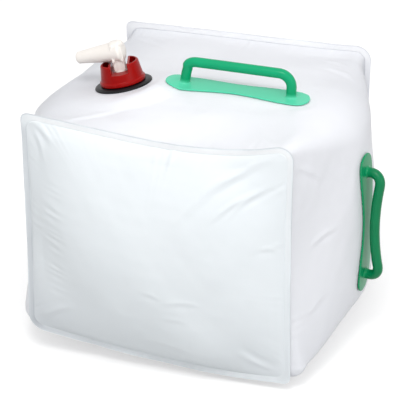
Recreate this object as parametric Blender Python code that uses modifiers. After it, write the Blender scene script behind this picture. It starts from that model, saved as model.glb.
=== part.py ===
"""Collapsible water carrier: a welded film cube with two moulded handles and a tap cap.

Metres, +Z up. The origin is on the floor under the middle of the bag. The front
panel faces -Y, the top handle lies along X and the side handle stands on the +X wall.
Run it with blender --background --python part.py, or from the text editor.
"""
import math

import bmesh
import bpy
from mathutils import Matrix, Vector

# Film bag: sizes between the weld seams, and how far the filled film stands out of them
PANEL_WIDTH = 0.259
BAG_DEPTH = 0.2805
SEAM_HEIGHT = 0.2482
FLANGE_WIDTH = 0.006
FLANGE_FLOOR_CLEARANCE = 0.0005
FILM_THICKNESS = 0.0005
SEAM_CORNER_RADIUS = 0.011
MID_CORNER_RADIUS = 0.032
TOP_CROWN = 0.0059
RIGHT_BULGE = 0.0435
LEFT_BULGE = 0.0451
BOTTOM_SAG = 0.019
FRONT_BULGE = 0.036
REAR_BULGE = 0.036
FRONT_SEAM_BOW = 0.0131
FRONT_BOW_SKEW = 0.53
REAR_SEAM_BOW = 0.0016
REAR_BOW_SKEW = 1.0
SIDE_SEAM_BOW = 0.0027
LEFT_CORNER_LIFT = 0.024
RIGHT_CORNER_LIFT = 0.0075
LEFT_SHOULDER_DROP = 0.018
RIGHT_HEEL_LIFT = 0.012

# Shape of the filled film: how round its section is, and how its swells and its lift fade
SEAM_ROUND_SHARE = 0.04
MID_ROUND_SHARE = 0.25
BULGE_POWER = 1.83
PANEL_POWER = 0.8
LIFT_ACROSS_POWER = 1.3
LIFT_DOWN_POWER = 1.5
LOW_BULGE_POWER = 0.55
RIGHT_LIFT_POWER = 4
SHOULDER_POWER = 6
SHOULDER_FADE_POWER = 0.7

# Clearance between pieces that touch
TOUCH_GAP = 0.0003

# Points closer than this are one point
WELD_DISTANCE = 0.000003

# Neck: its axis leans towards -X with the crowned film, which lies flat round it
NECK_X = -0.0740
NECK_Y = -0.0250
NECK_LEAN = math.radians(11.5)
NECK_SINK = 0.0020
NECK_FLAT_RADIUS = 0.041
NECK_FADE_RADIUS = 0.066
NECK_BORE_RADIUS = 0.0148
NECK_WALL = 0.0022
NECK_HEIGHT = 0.0108
NECK_RIM_BEVEL = 0.0005
NECK_COLLAR_DEPTH = 0.006
NECK_HOLE_CLEARANCE = 0.0030
FLANGE_RING_RADIUS = 0.0286
FLANGE_RING_THICKNESS = 0.0024
FLANGE_RING_EDGE = 0.0014
FLANGE_RING_STEP = 0.0006

# Screw cap: a tapered skirt, a low plate and two tall lugs with a notch between them
CAP_BASE_RADIUS = 0.0226
CAP_TOP_RADIUS = 0.0188
CAP_HEIGHT = 0.0235
CAP_BEAD_HEIGHT = 0.0034
CAP_BEAD_STEP = 0.0008
CAP_EDGE = 0.0009
CAP_PLATE_THICKNESS = 0.0024
CAP_NOTCH_WIDTH = 0.0166
CAP_LUG_WALL = 0.0022
CAP_LUG_FLOOR = 0.0020
THREAD_CLEARANCE = 0.0011
CAP_SEAT_CLEARANCE = 0.0005
GASKET_THICKNESS = 0.0011
GASKET_SIDE_CLEARANCE = 0.0004

# Socket under the cap's plate, which holds the turning barrel of the spout
SOCKET_WALL = 0.0018
SOCKET_FLOOR = 0.0015
SOCKET_PORT_RADIUS = 0.0027
BARREL_PORT_RADIUS = 0.0025
PORT_HEIGHT = 0.0062
BARREL_RADIUS = 0.0069
BARREL_CLEARANCE = 0.0003
BARREL_BOTTOM = 0.0013
SPOUT_BORE_RADIUS = 0.0042
NOZZLE_BORE_RADIUS = 0.0045
O_RING_SECTION = 0.00075
O_RING_SQUEEZE = 0.0001
O_RING_HEIGHT = 0.0098
O_RING_GROOVE_MARGIN = 0.0003

# Spout: an upright leg with two fins, a round knuckle set back from it and a tapered nozzle
LEG_RADIUS = 0.0064
KNUCKLE_RADIUS = 0.0108
KNUCKLE_HEIGHT = 0.0346
KNUCKLE_OFFSET = 0.0042
NOZZLE_DROOP = math.radians(4)
NOZZLE_LENGTH = 0.0475
NOZZLE_ROOT_RADIUS = 0.0104
NOZZLE_TIP_RADIUS = 0.0060
NOZZLE_TIP_EDGE = 0.0009
FIN_THICKNESS = 0.0024
FIN_SPACING = 0.0088
FIN_REACH = 0.0058
FIN_CLEARANCE = 0.0008
FIN_TOP_DROP = 0.0036

# Handles: a flat welded base with waisted sides and a round grip on two legs
HANDLE_LENGTH = 0.145
HANDLE_END_WIDTH = 0.034
HANDLE_WAIST_WIDTH = 0.025
BASE_THICKNESS = 0.0016
BASE_SEAT_GAP = 0.0006
LEG_SPACING = 0.108
GRIP_DIAMETER = 0.0100
GRIP_BEND_RADIUS = 0.013
LEG_ROOT_DEPTH = 0.0006
FOOT_SPREAD = 0.0030
FOOT_HEIGHT = 0.0035
FOOT_STEP_HEIGHT = 0.0012
TOP_HANDLE_X = 0.042
TOP_HANDLE_Y = -0.021
TOP_GRIP_HEIGHT = 0.0250
TOP_GRIP_SAG = 0.0008
TOP_GRIP_SWAY = 0.0
SIDE_HANDLE_Y = -0.013
SIDE_HANDLE_Z = 0.1275
SIDE_GRIP_HEIGHT = 0.0185
SIDE_GRIP_SAG = 0.0048
SIDE_GRIP_SWAY = -0.006
SWAY_AT_LEGS_SHARE = 0.4
BASE_END_POWER = 3

# One overrun serves every cut
CUT_OVERRUN = 0.004

# Counts of facets
TOP_STEPS = 18
WALL_STEPS = 10
FLOOR_STEPS = 7
CORNER_STEPS = 3
DEPTH_STEPS = 16
PANEL_RINGS = 5
TURN_STEPS = 36
RING_STEPS = 8
O_RING_STEPS = 6
PORT_STEPS = 16
GRIP_SIDES_RESOLUTION = 3
BEND_POINTS = 6
GRIP_POINTS = 10
BASE_LONG_STEPS = 26
BASE_WIDE_STEPS = 6

# Values worked out from the sizes above
SEAM_FLOOR_HEIGHT = FLANGE_WIDTH + FLANGE_FLOOR_CLEARANCE
SEAM_MIDDLE = (SEAM_HEIGHT + SEAM_FLOOR_HEIGHT) / 2
HALF_SEAM = (SEAM_HEIGHT - SEAM_FLOOR_HEIGHT) / 2
NECK_OUTER = NECK_BORE_RADIUS + NECK_WALL
CAP_PLATE_BOTTOM = NECK_HEIGHT + GASKET_THICKNESS + 2 * TOUCH_GAP
CAP_PLATE_TOP = CAP_PLATE_BOTTOM + CAP_PLATE_THICKNESS
SOCKET_BORE = BARREL_RADIUS + BARREL_CLEARANCE
SOCKET_OUTER = SOCKET_BORE + SOCKET_WALL
SOCKET_BOTTOM = BARREL_BOTTOM - TOUCH_GAP - SOCKET_FLOOR
NECK_HOLE_RADIUS = NECK_OUTER + NECK_HOLE_CLEARANCE


def clear_scene():
    for old in list(bpy.data.objects):
        bpy.data.objects.remove(old, do_unlink=True)


def make_collection(name):
    group = bpy.data.collections.new(name)
    bpy.context.scene.collection.children.link(group)
    return group


def make_material(name, color, roughness, transmission=0.0, alpha=1.0):
    material = bpy.data.materials.new(name)
    material.use_nodes = True
    shader = material.node_tree.nodes["Principled BSDF"]
    shader.inputs["Base Color"].default_value = (*color, 1.0)
    shader.inputs["Roughness"].default_value = roughness
    shader.inputs["Metallic"].default_value = 0.0
    shader.inputs["Transmission Weight"].default_value = transmission
    shader.inputs["Alpha"].default_value = alpha
    return material


clear_scene()
PARTS = make_collection("collapsible_water_carrier")
CUTTERS = make_collection("cutters")

FILM = make_material("milky_film", (0.86, 0.88, 0.92), 0.32, alpha=0.8)
GREEN = make_material("green_moulding", (0.01, 0.44, 0.18), 0.28)
BLACK = make_material("black_moulding", (0.012, 0.012, 0.014), 0.4)
RED = make_material("red_cap_plastic", (0.42, 0.012, 0.008), 0.3)
IVORY = make_material("ivory_spout_plastic", (0.9, 0.87, 0.82), 0.35)
RUBBER = make_material("seal_rubber", (0.03, 0.03, 0.03), 0.6)
GASKET = make_material("gasket_foam", (0.8, 0.8, 0.78), 0.7)


def link_part(item, material):
    """Put a finished object in the parts collection with its own material."""
    for group in list(item.users_collection):
        group.objects.unlink(item)
    PARTS.objects.link(item)
    item.data.materials.clear()
    item.data.materials.append(material)
    return item


def link_cutter(item):
    for group in list(item.users_collection):
        group.objects.unlink(item)
    CUTTERS.objects.link(item)
    item.hide_render = True
    item.display_type = "WIRE"
    return item


def mesh_from_bmesh(name, work):
    bmesh.ops.recalc_face_normals(work, faces=work.faces)
    mesh = bpy.data.meshes.new(name)
    work.to_mesh(mesh)
    work.free()
    return bpy.data.objects.new(name, mesh)


def boolean(item, other, operation):
    modifier = item.modifiers.new(operation.lower(), "BOOLEAN")
    modifier.operation = operation
    modifier.solver = "EXACT"
    modifier.object = other
    return modifier


def shell(item, thickness, offset):
    """Turn an open surface into a closed sheet with matching inner and outer facets."""
    item.modifiers.new("facets", "TRIANGULATE")
    modifier = item.modifiers.new("sheet", "SOLIDIFY")
    modifier.thickness = thickness
    modifier.offset = offset
    modifier.use_even_offset = True
    modifier.use_rim = True
    return modifier


def smooth(item):
    item.data.shade_smooth()
    item.data.set_sharp_from_angle(angle=math.radians(35))


# The filled bag's surface

def bulge_at(depth_share):
    """How far the filled film has swelled at a depth from -1, front seam, to 1, rear seam."""
    return max(0.0, 1.0 - depth_share ** 2) ** BULGE_POWER


def rounding_at(swell):
    return SEAM_ROUND_SHARE + (MID_ROUND_SHARE - SEAM_ROUND_SHARE) * swell


def film_section(across, up, depth_share):
    """Point of the band's section, from a place on the unit square round the bag."""
    swell = bulge_at(depth_share)
    rounding = rounding_at(swell)
    side_bulge = RIGHT_BULGE if across > 0 else LEFT_BULGE
    half_width = PANEL_WIDTH / 2 + side_bulge * swell - SIDE_SEAM_BOW * (1 - up ** 2) * (1 - swell)
    half_width += side_bulge * low_swell_at(up, depth_share)
    if up > 0:
        half_height = HALF_SEAM + TOP_CROWN * swell - top_seam_hang(across, depth_share) * (1 - swell)
    else:
        half_height = HALF_SEAM + BOTTOM_SAG * swell
    x = half_width * across * math.sqrt(1 - rounding * up ** 2 / 2)
    z = SEAM_MIDDLE + half_height * up * math.sqrt(1 - rounding * across ** 2 / 2)
    return x, max(z + corner_lift(across, up, depth_share), 0.0)


def low_swell_at(up, depth_share):
    """How much further the side walls have swelled near the floor than higher up."""
    low_share = max(0.0, (1 - up) / 2) ** 2
    return low_share * (max(0.0, 1 - depth_share ** 2) ** LOW_BULGE_POWER - bulge_at(depth_share))


def top_seam_hang(across, depth_share):
    """How far the top seams hang between their corners: the front one more than the rear."""
    front = FRONT_SEAM_BOW * (1 + FRONT_BOW_SKEW * across)
    rear = REAR_SEAM_BOW * (1 + REAR_BOW_SKEW * across)
    return (1 - across ** 2) * (front + (rear - front) * (1 + depth_share) / 2)


def corner_lift(across, up, depth_share):
    """How far the low corners stand off the floor, and how taut film cuts two corners."""
    left = max(0.0, (1 - across) / 2)
    right = max(0.0, (1 + across) / 2)
    low = max(0.0, (1 - up) / 2)
    high = max(0.0, (1 + up) / 2)
    lift = LEFT_CORNER_LIFT * left ** LIFT_ACROSS_POWER * low ** LIFT_DOWN_POWER
    lift += RIGHT_CORNER_LIFT * (right * low) ** RIGHT_LIFT_POWER
    fade = max(0.0, 1 - depth_share ** 2) ** SHOULDER_FADE_POWER
    heel = RIGHT_HEEL_LIFT * (right * low) ** SHOULDER_POWER
    shoulder = LEFT_SHOULDER_DROP * (left * high) ** SHOULDER_POWER
    return lift * abs(depth_share) + (heel - shoulder) * fade


def plain_top_height(x, y):
    """Height of the crowned top film, before it is drawn flat round the neck."""
    depth_share = 2 * y / BAG_DEPTH
    swell = bulge_at(depth_share)
    side_bulge = RIGHT_BULGE if x > 0 else LEFT_BULGE
    reach = (PANEL_WIDTH / 2 + side_bulge * swell) * math.sqrt(1 - rounding_at(swell) / 2)
    return film_section(x / reach, 1.0, depth_share)[1]


NECK_Z = plain_top_height(NECK_X, NECK_Y) - NECK_SINK


def flatten_at_neck(x, y, z):
    """Draw the top film onto the leaning plane of the neck's flange."""
    distance = math.hypot(x - NECK_X, y - NECK_Y)
    if z < SEAM_MIDDLE or distance > NECK_FADE_RADIUS:
        return z
    fade = max(0.0, (distance - NECK_FLAT_RADIUS) / (NECK_FADE_RADIUS - NECK_FLAT_RADIUS))
    weight = 1 - fade * fade * (3 - 2 * fade)
    plane = NECK_Z + (x - NECK_X) * math.tan(NECK_LEAN)
    return z + weight * (plane - z)


def film_point(across, up, depth_share):
    x, z = film_section(across, up, depth_share)
    y = depth_share * BAG_DEPTH / 2
    return Vector((x, y, flatten_at_neck(x, y, z)))


def top_point(x, y):
    return Vector((x, y, flatten_at_neck(x, y, plain_top_height(x, y))))


def right_point(y, z):
    """Point of the right wall's film at a depth and a height."""
    depth_share = 2 * y / BAG_DEPTH
    swell = bulge_at(depth_share)
    sag = TOP_CROWN if z > SEAM_MIDDLE else BOTTOM_SAG
    reach = (HALF_SEAM + sag * swell) * math.sqrt(1 - rounding_at(swell) / 2)
    x = film_section(1.0, (z - SEAM_MIDDLE) / reach, depth_share)[0]
    return Vector((x, y, z))


def film_normal(point_of, first, second):
    """Unit normal of a film face, from two short steps along it."""
    step = FILM_THICKNESS
    along = point_of(first + step, second) - point_of(first - step, second)
    across = point_of(first, second + step) - point_of(first, second - step)
    return along.cross(across).normalized()


def unit_loop(radius_share):
    """Places round the unit square with round corners, each with its outward direction."""
    flat = 1 - radius_share
    sides = (
        ((-flat, 1), (flat, 1), (0, 1), TOP_STEPS),
        ((1, flat), (1, -flat), (1, 0), WALL_STEPS),
        ((flat, -1), (-flat, -1), (0, -1), FLOOR_STEPS),
        ((-1, -flat), (-1, flat), (-1, 0), WALL_STEPS),
    )
    places = []
    for turn, (start, end, normal, steps) in enumerate(sides):
        for step in range(steps + 1):
            share = step / steps
            place = Vector(start).lerp(Vector(end), share)
            places.append((place.x, place.y, normal))
        quarter = math.pi / 2
        centre = Vector(end) - Vector(normal) * radius_share
        for step in range(1, CORNER_STEPS):
            angle = quarter * (1 - turn) - quarter * step / CORNER_STEPS
            out = Vector((math.cos(angle), math.sin(angle)))
            place = centre + out * radius_share
            places.append((place.x, place.y, (out.x, out.y)))
    return places


def seam_ring(side):
    """Seam loop points and the flange's outer loop, at the front (-1) or rear (1)."""
    seam = []
    outer = []
    for across, up, normal in unit_loop(2 * SEAM_CORNER_RADIUS / PANEL_WIDTH):
        point = film_point(across, up, side)
        seam.append(point)
        outer.append(point + Vector((normal[0], 0, normal[1])) * FLANGE_WIDTH)
    return seam, outer


def bridge(work, first, second):
    """Quads between two closed rings of vertices."""
    count = len(first)
    for index in range(count):
        after = (index + 1) % count
        work.faces.new((first[index], first[after], second[after], second[index]))


def ring_vertices(work, points, y=None):
    ring = []
    for point in points:
        ring.append(work.verts.new((point.x, point.y if y is None else y, point.z)))
    return ring


def make_band():
    """One strip of film round the bag, its edges turned out into the weld flanges."""
    work = bmesh.new()
    edge = TOUCH_GAP / 2 + FILM_THICKNESS
    rows = []
    front_seam, front_rim = seam_ring(-1)
    rear_seam, rear_rim = seam_ring(1)
    front_y = -BAG_DEPTH / 2 + edge
    rear_y = BAG_DEPTH / 2 - edge
    rows.append(ring_vertices(work, front_rim, front_y))
    rows.append(ring_vertices(work, front_seam, front_y))
    seam_share = 2 * SEAM_CORNER_RADIUS / PANEL_WIDTH
    mid_share = 2 * MID_CORNER_RADIUS / PANEL_WIDTH
    for step in range(1, DEPTH_STEPS):
        depth_share = -math.cos(math.pi * (step + 1) / (DEPTH_STEPS + 2))
        radius_share = seam_share + (mid_share - seam_share) * bulge_at(depth_share)
        points = [film_point(across, up, depth_share) for across, up, _ in unit_loop(radius_share)]
        rows.append(ring_vertices(work, points))
    rows.append(ring_vertices(work, rear_seam, rear_y))
    rows.append(ring_vertices(work, rear_rim, rear_y))
    for first, second in zip(rows, rows[1:]):
        bridge(work, first, second)
    band = mesh_from_bmesh("wrap_band", work)
    face_outward(band)
    shell(band, FILM_THICKNESS, -1.0)
    boolean(band, neck_hole_cutter(), "DIFFERENCE")
    return link_part(band, FILM)


def pillow(across, up):
    """Swell of a panel between its four seams, from 0 at a seam to 1 in the middle."""
    return (max(0.0, 1 - across ** 2) * max(0.0, 1 - up ** 2)) ** PANEL_POWER


def make_panel(name, side, bulge):
    """A square panel with its flat weld flange; the film swells between the seams."""
    work = bmesh.new()
    seam, rim = seam_ring(side)
    flat_y = side * (BAG_DEPTH / 2 + TOUCH_GAP / 2 + FILM_THICKNESS)
    centre = Vector((0, 0, SEAM_MIDDLE))
    rows = [ring_vertices(work, rim, flat_y)]
    places = unit_loop(2 * SEAM_CORNER_RADIUS / PANEL_WIDTH)
    for ring in range(PANEL_RINGS + 1):
        share = 1 - ring / (PANEL_RINGS + 1)
        row = []
        for (across, up, _), point in zip(places, seam):
            x, _, z = centre.lerp(point, share)
            row.append(work.verts.new((x, flat_y + side * bulge * pillow(across * share, up * share), z)))
        rows.append(row)
    for first, second in zip(rows, rows[1:]):
        bridge(work, first, second)
    peak = work.verts.new((centre.x, flat_y + side * bulge, centre.z))
    inner = rows[-1]
    for index, vertex in enumerate(inner):
        work.faces.new((vertex, inner[(index + 1) % len(inner)], peak))
    panel = mesh_from_bmesh(name, work)
    face_outward(panel)
    shell(panel, FILM_THICKNESS, -1.0)
    return link_part(panel, FILM)


def face_outward(item):
    """Make an open film surface's normals point away from the middle of the bag."""
    middle = Vector((0, 0, SEAM_MIDDLE))
    total = sum(face.normal.dot(face.center - middle) * face.area for face in item.data.polygons)
    if total < 0:
        item.data.flip_normals()


# The neck and what screws onto it, made upright about the neck's axis

def neck_frame():
    axis = bpy.data.objects.new("neck_axis", None)
    axis.location = (NECK_X, NECK_Y, NECK_Z)
    axis.rotation_euler = (0, -NECK_LEAN, 0)
    PARTS.objects.link(axis)
    bpy.context.view_layer.update()
    return axis


NECK = neck_frame()


def on_neck(item):
    item.parent = NECK
    return item


def turned(name, outline, closed, steps=TURN_STEPS):
    """Revolve an outline of (radius, height), running down its outer side."""
    mesh = bpy.data.meshes.new(name)
    points = [(radius, 0, height) for radius, height in outline]
    edges = [(index, index + 1) for index in range(len(points) - 1)]
    if closed:
        edges.append((len(points) - 1, 0))
    mesh.from_pydata(points, edges, [])
    item = bpy.data.objects.new(name, mesh)
    screw = item.modifiers.new("turn", "SCREW")
    screw.axis = "Z"
    screw.angle = math.tau
    screw.steps = steps
    screw.render_steps = steps
    screw.use_merge_vertices = True
    screw.merge_threshold = WELD_DISTANCE
    screw.use_smooth_shade = True
    return item


def neck_hole_cutter():
    reach = 2 * NECK_COLLAR_DEPTH + CUT_OVERRUN
    outline = [(0, reach), (NECK_HOLE_RADIUS, reach), (NECK_HOLE_RADIUS, -reach), (0, -reach)]
    return on_neck(link_cutter(turned("neck_hole_cut", outline, False)))


def make_neck():
    """Threaded neck with a round weld flange on the film and a collar through it."""
    base = TOUCH_GAP
    top = base + FLANGE_RING_THICKNESS
    outline = [
        (NECK_BORE_RADIUS, NECK_HEIGHT),
        (NECK_OUTER - NECK_RIM_BEVEL, NECK_HEIGHT),
        (NECK_OUTER, NECK_HEIGHT - NECK_RIM_BEVEL),
        (NECK_OUTER, top),
        (FLANGE_RING_RADIUS - FLANGE_RING_THICKNESS, top),
        (FLANGE_RING_RADIUS - FLANGE_RING_STEP, base + FLANGE_RING_EDGE),
        (FLANGE_RING_RADIUS, base + FLANGE_RING_STEP),
        (FLANGE_RING_RADIUS, base),
        (NECK_OUTER, base),
        (NECK_OUTER, -NECK_COLLAR_DEPTH),
        (NECK_BORE_RADIUS, -NECK_COLLAR_DEPTH),
    ]
    return on_neck(link_part(turned("neck_fitting", outline, True), BLACK))


def make_gasket():
    bottom = NECK_HEIGHT + TOUCH_GAP
    top = bottom + GASKET_THICKNESS
    outer = NECK_OUTER + THREAD_CLEARANCE - GASKET_SIDE_CLEARANCE
    inner = NECK_BORE_RADIUS - GASKET_SIDE_CLEARANCE
    outline = [(inner, top), (outer, top), (outer, bottom), (inner, bottom)]
    return on_neck(link_part(turned("cap_gasket", outline, True), GASKET))


def cap_outer_radius(height):
    """The cap's taper, as a radius at a height."""
    share = (height - CAP_BEAD_HEIGHT) / (CAP_HEIGHT - CAP_BEAD_HEIGHT)
    wide = CAP_BASE_RADIUS - CAP_BEAD_STEP
    return wide + (CAP_TOP_RADIUS - wide) * share


def make_cap():
    """Cap with a bead round its foot, a low plate, a hanging socket and two lugs."""
    foot = TOUCH_GAP + FLANGE_RING_THICKNESS + CAP_SEAT_CLEARANCE
    bead_top = foot + CAP_BEAD_HEIGHT
    skirt = NECK_OUTER + THREAD_CLEARANCE
    outline = [
        (SOCKET_BORE, CAP_HEIGHT),
        (cap_outer_radius(CAP_HEIGHT) - CAP_EDGE, CAP_HEIGHT),
        (cap_outer_radius(CAP_HEIGHT - CAP_EDGE), CAP_HEIGHT - CAP_EDGE),
        (cap_outer_radius(bead_top + CAP_BEAD_STEP), bead_top + CAP_BEAD_STEP),
        (CAP_BASE_RADIUS, bead_top),
        (CAP_BASE_RADIUS, foot + CAP_EDGE / 2),
        (CAP_BASE_RADIUS - CAP_EDGE / 2, foot),
        (skirt, foot),
        (skirt, CAP_PLATE_BOTTOM),
        (SOCKET_OUTER, CAP_PLATE_BOTTOM),
        (SOCKET_OUTER, SOCKET_BOTTOM),
        (0, SOCKET_BOTTOM),
        (0, SOCKET_BOTTOM + SOCKET_FLOOR),
        (SOCKET_BORE, SOCKET_BOTTOM + SOCKET_FLOOR),
    ]
    cap = turned("screw_cap", outline, True)
    boolean(cap, notch_cutter(), "DIFFERENCE")
    for side in (-1, 1):
        boolean(cap, lug_pocket_cutter(side), "DIFFERENCE")
    boolean(cap, port_cutter("socket_port_cut", SOCKET_PORT_RADIUS, SOCKET_BORE, SOCKET_OUTER), "DIFFERENCE")
    return on_neck(link_part(cap, RED))


def box_cutter(name, low, high):
    work = bmesh.new()
    bmesh.ops.create_cube(work, size=1.0)
    size = Vector(high) - Vector(low)
    middle = (Vector(high) + Vector(low)) / 2
    bmesh.ops.scale(work, vec=size, verts=work.verts)
    bmesh.ops.translate(work, vec=middle, verts=work.verts)
    return link_cutter(mesh_from_bmesh(name, work))


def notch_cutter():
    """Notch from front to back between the two lugs, down to the plate."""
    half = CAP_NOTCH_WIDTH / 2
    far = CAP_BASE_RADIUS + CUT_OVERRUN
    return on_neck(box_cutter("notch_cut", (-half, -far, CAP_PLATE_TOP), (half, far, CAP_HEIGHT + CUT_OVERRUN)))


def lug_pocket_cutter(side):
    """Moulding pocket that leaves each lug a wall all round and a floor."""
    inner = CAP_NOTCH_WIDTH / 2 + CAP_LUG_WALL
    floor = CAP_PLATE_TOP + CAP_LUG_FLOOR
    top = CAP_HEIGHT + CUT_OVERRUN
    work = bmesh.new()
    rings = []
    for height in (floor, top):
        outer = cap_outer_radius(height) - CAP_LUG_WALL
        limit = math.acos(inner / outer)
        ring = []
        for step in range(RING_STEPS + 1):
            angle = -limit + 2 * limit * step / RING_STEPS
            place = (side * outer * math.cos(angle), outer * math.sin(angle), height)
            ring.append(work.verts.new(place))
        rings.append(ring)
    bridge(work, rings[0], rings[1])
    work.faces.new(rings[0])
    work.faces.new(rings[1])
    return on_neck(link_cutter(mesh_from_bmesh("lug_pocket_cut", work)))


def port_cutter(name, radius, inner, outer):
    """Side port towards -X, through one wall of a tube on the neck's axis."""
    length = outer - inner + 2 * CUT_OVERRUN
    work = bmesh.new()
    bmesh.ops.create_cone(work, cap_ends=True, segments=PORT_STEPS, radius1=radius, radius2=radius, depth=length)
    turn = Matrix.Rotation(math.pi / 2, 4, "Y") @ Matrix.Rotation(math.pi / PORT_STEPS, 4, "Z")
    shift = Matrix.Translation((-(inner + outer) / 2, 0, PORT_HEIGHT))
    bmesh.ops.transform(work, matrix=shift @ turn, verts=work.verts)
    return on_neck(link_cutter(mesh_from_bmesh(name, work)))


def o_ring_radius():
    """Middle radius of the seal, just inside the socket's bore."""
    return SOCKET_BORE - O_RING_SQUEEZE - O_RING_SECTION


def make_o_ring():
    outline = []
    for step in range(O_RING_STEPS):
        angle = math.pi / 2 - math.tau * step / O_RING_STEPS
        radius = o_ring_radius() + O_RING_SECTION * math.cos(angle)
        outline.append((radius, O_RING_HEIGHT + O_RING_SECTION * math.sin(angle)))
    return on_neck(link_part(turned("spout_o_ring", outline, True), RUBBER))


def make_spout():
    """White spout: barrel in the socket, finned leg, knuckle and tapered nozzle, one bore."""
    groove = O_RING_SECTION + O_RING_GROOVE_MARGIN
    groove_radius = o_ring_radius() - O_RING_SECTION - O_RING_GROOVE_MARGIN
    foot = CAP_PLATE_TOP + TOUCH_GAP
    outline = [
        (0, KNUCKLE_HEIGHT),
        (LEG_RADIUS, KNUCKLE_HEIGHT),
        (LEG_RADIUS, foot + FIN_CLEARANCE),
        (BARREL_RADIUS, foot),
        (BARREL_RADIUS, O_RING_HEIGHT + groove),
        (groove_radius, O_RING_HEIGHT + groove),
        (groove_radius, O_RING_HEIGHT - groove),
        (BARREL_RADIUS, O_RING_HEIGHT - groove),
        (BARREL_RADIUS, BARREL_BOTTOM),
        (0, BARREL_BOTTOM),
    ]
    spout = turned("spout", outline, False)
    boolean(spout, nozzle_form(), "UNION")
    for side in (-1, 1):
        boolean(spout, leg_fin(side), "UNION")
    boolean(spout, port_cutter("barrel_port_cut", BARREL_PORT_RADIUS, SPOUT_BORE_RADIUS, BARREL_RADIUS), "DIFFERENCE")
    boolean(spout, upright_bore_cutter(), "DIFFERENCE")
    boolean(spout, nozzle_bore_cutter(), "DIFFERENCE")
    return on_neck(link_part(spout, IVORY))


def along_nozzle(item):
    """Lay a form made along +Z out from the knuckle towards -X, drooping, turned half a facet."""
    half_facet = math.pi / TURN_STEPS
    lay = Matrix.Rotation(-math.pi / 2 - NOZZLE_DROOP, 4, "Y") @ Matrix.Rotation(half_facet, 4, "Z")
    on_neck(item)
    item.matrix_local = Matrix.Translation((KNUCKLE_OFFSET, 0, KNUCKLE_HEIGHT)) @ lay
    return item


def nozzle_form():
    """Knuckle ball and tapered nozzle, turned about the nozzle's axis."""
    outline = [(0, NOZZLE_LENGTH)]
    outline.append((NOZZLE_TIP_RADIUS - NOZZLE_TIP_EDGE, NOZZLE_LENGTH))
    outline.append((NOZZLE_TIP_RADIUS, NOZZLE_LENGTH - NOZZLE_TIP_EDGE))
    taper = math.atan2(NOZZLE_ROOT_RADIUS - NOZZLE_TIP_RADIUS, NOZZLE_LENGTH)
    for step in range(RING_STEPS + 1):
        angle = taper - (taper + math.pi / 2) * step / RING_STEPS
        radius = KNUCKLE_RADIUS * math.cos(angle) if step < RING_STEPS else 0
        outline.append((radius, KNUCKLE_RADIUS * math.sin(angle)))
    return along_nozzle(link_cutter(turned("nozzle_form", outline, False)))


def leg_fin(side):
    """One of the two upright fins on the front of the leg."""
    middle = side * FIN_SPACING / 2
    low = (middle - FIN_THICKNESS / 2, -FIN_REACH, CAP_PLATE_TOP + FIN_CLEARANCE)
    high = (middle + FIN_THICKNESS / 2, -SPOUT_BORE_RADIUS, KNUCKLE_HEIGHT - FIN_TOP_DROP)
    return on_neck(box_cutter("leg_fin", low, high))


def upright_bore_cutter():
    bottom = BARREL_BOTTOM + SOCKET_FLOOR
    outline = [(0, KNUCKLE_HEIGHT), (SPOUT_BORE_RADIUS, KNUCKLE_HEIGHT), (SPOUT_BORE_RADIUS, bottom), (0, bottom)]
    return on_neck(link_cutter(turned("upright_bore_cut", outline, False, TURN_STEPS // 2)))


def nozzle_bore_cutter():
    """Bore along the nozzle, from inside the upright bore out through the tip."""
    start = -SPOUT_BORE_RADIUS / 2
    end = NOZZLE_LENGTH + CUT_OVERRUN
    outline = [(0, end), (NOZZLE_BORE_RADIUS, end), (NOZZLE_BORE_RADIUS, start), (0, start)]
    return along_nozzle(link_cutter(turned("nozzle_bore_cut", outline, False, TURN_STEPS // 2)))


# Handles: each is one soft moulding, welded to the film by its base

def base_half_width(along):
    """Half width of the waisted base at a distance from its middle."""
    leg = LEG_SPACING / 2
    reach = HANDLE_LENGTH / 2
    distance = abs(along)
    if distance <= leg:
        share = distance / leg
        smooth_share = share * share * (3 - 2 * share)
        return (HANDLE_WAIST_WIDTH + (HANDLE_END_WIDTH - HANDLE_WAIST_WIDTH) * smooth_share) / 2
    share = (distance - leg) / (reach - leg)
    wide = HANDLE_END_WIDTH / 2
    return wide * math.sqrt(max(0.0, 1 - share ** BASE_END_POWER))


def base_stations():
    """Places along the base, closer together at its round ends."""
    stations = []
    for step in range(1, BASE_LONG_STEPS):
        stations.append(-math.cos(math.pi * step / BASE_LONG_STEPS) * HANDLE_LENGTH / 2)
    return stations


def make_base(name, place):
    """Thin curved plate on the film; place(along, across, out) gives its points."""
    work = bmesh.new()
    lift = BASE_SEAT_GAP + BASE_THICKNESS
    rows = []
    for along in base_stations():
        half = base_half_width(along)
        row = []
        for step in range(BASE_WIDE_STEPS + 1):
            across = half * (2 * step / BASE_WIDE_STEPS - 1)
            row.append(work.verts.new(place(along, across, lift)))
        rows.append(row)
    for first, second in zip(rows, rows[1:]):
        for index in range(BASE_WIDE_STEPS):
            work.faces.new((first[index], first[index + 1], second[index + 1], second[index]))
    base = mesh_from_bmesh(name, work)
    out = place(0, 0, lift) - place(0, 0, 0)
    face = base.data.polygons[len(base.data.polygons) // 2]
    if face.normal.dot(out) < 0:
        base.data.flip_normals()
    shell(base, BASE_THICKNESS, -1.0)
    return base


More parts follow.
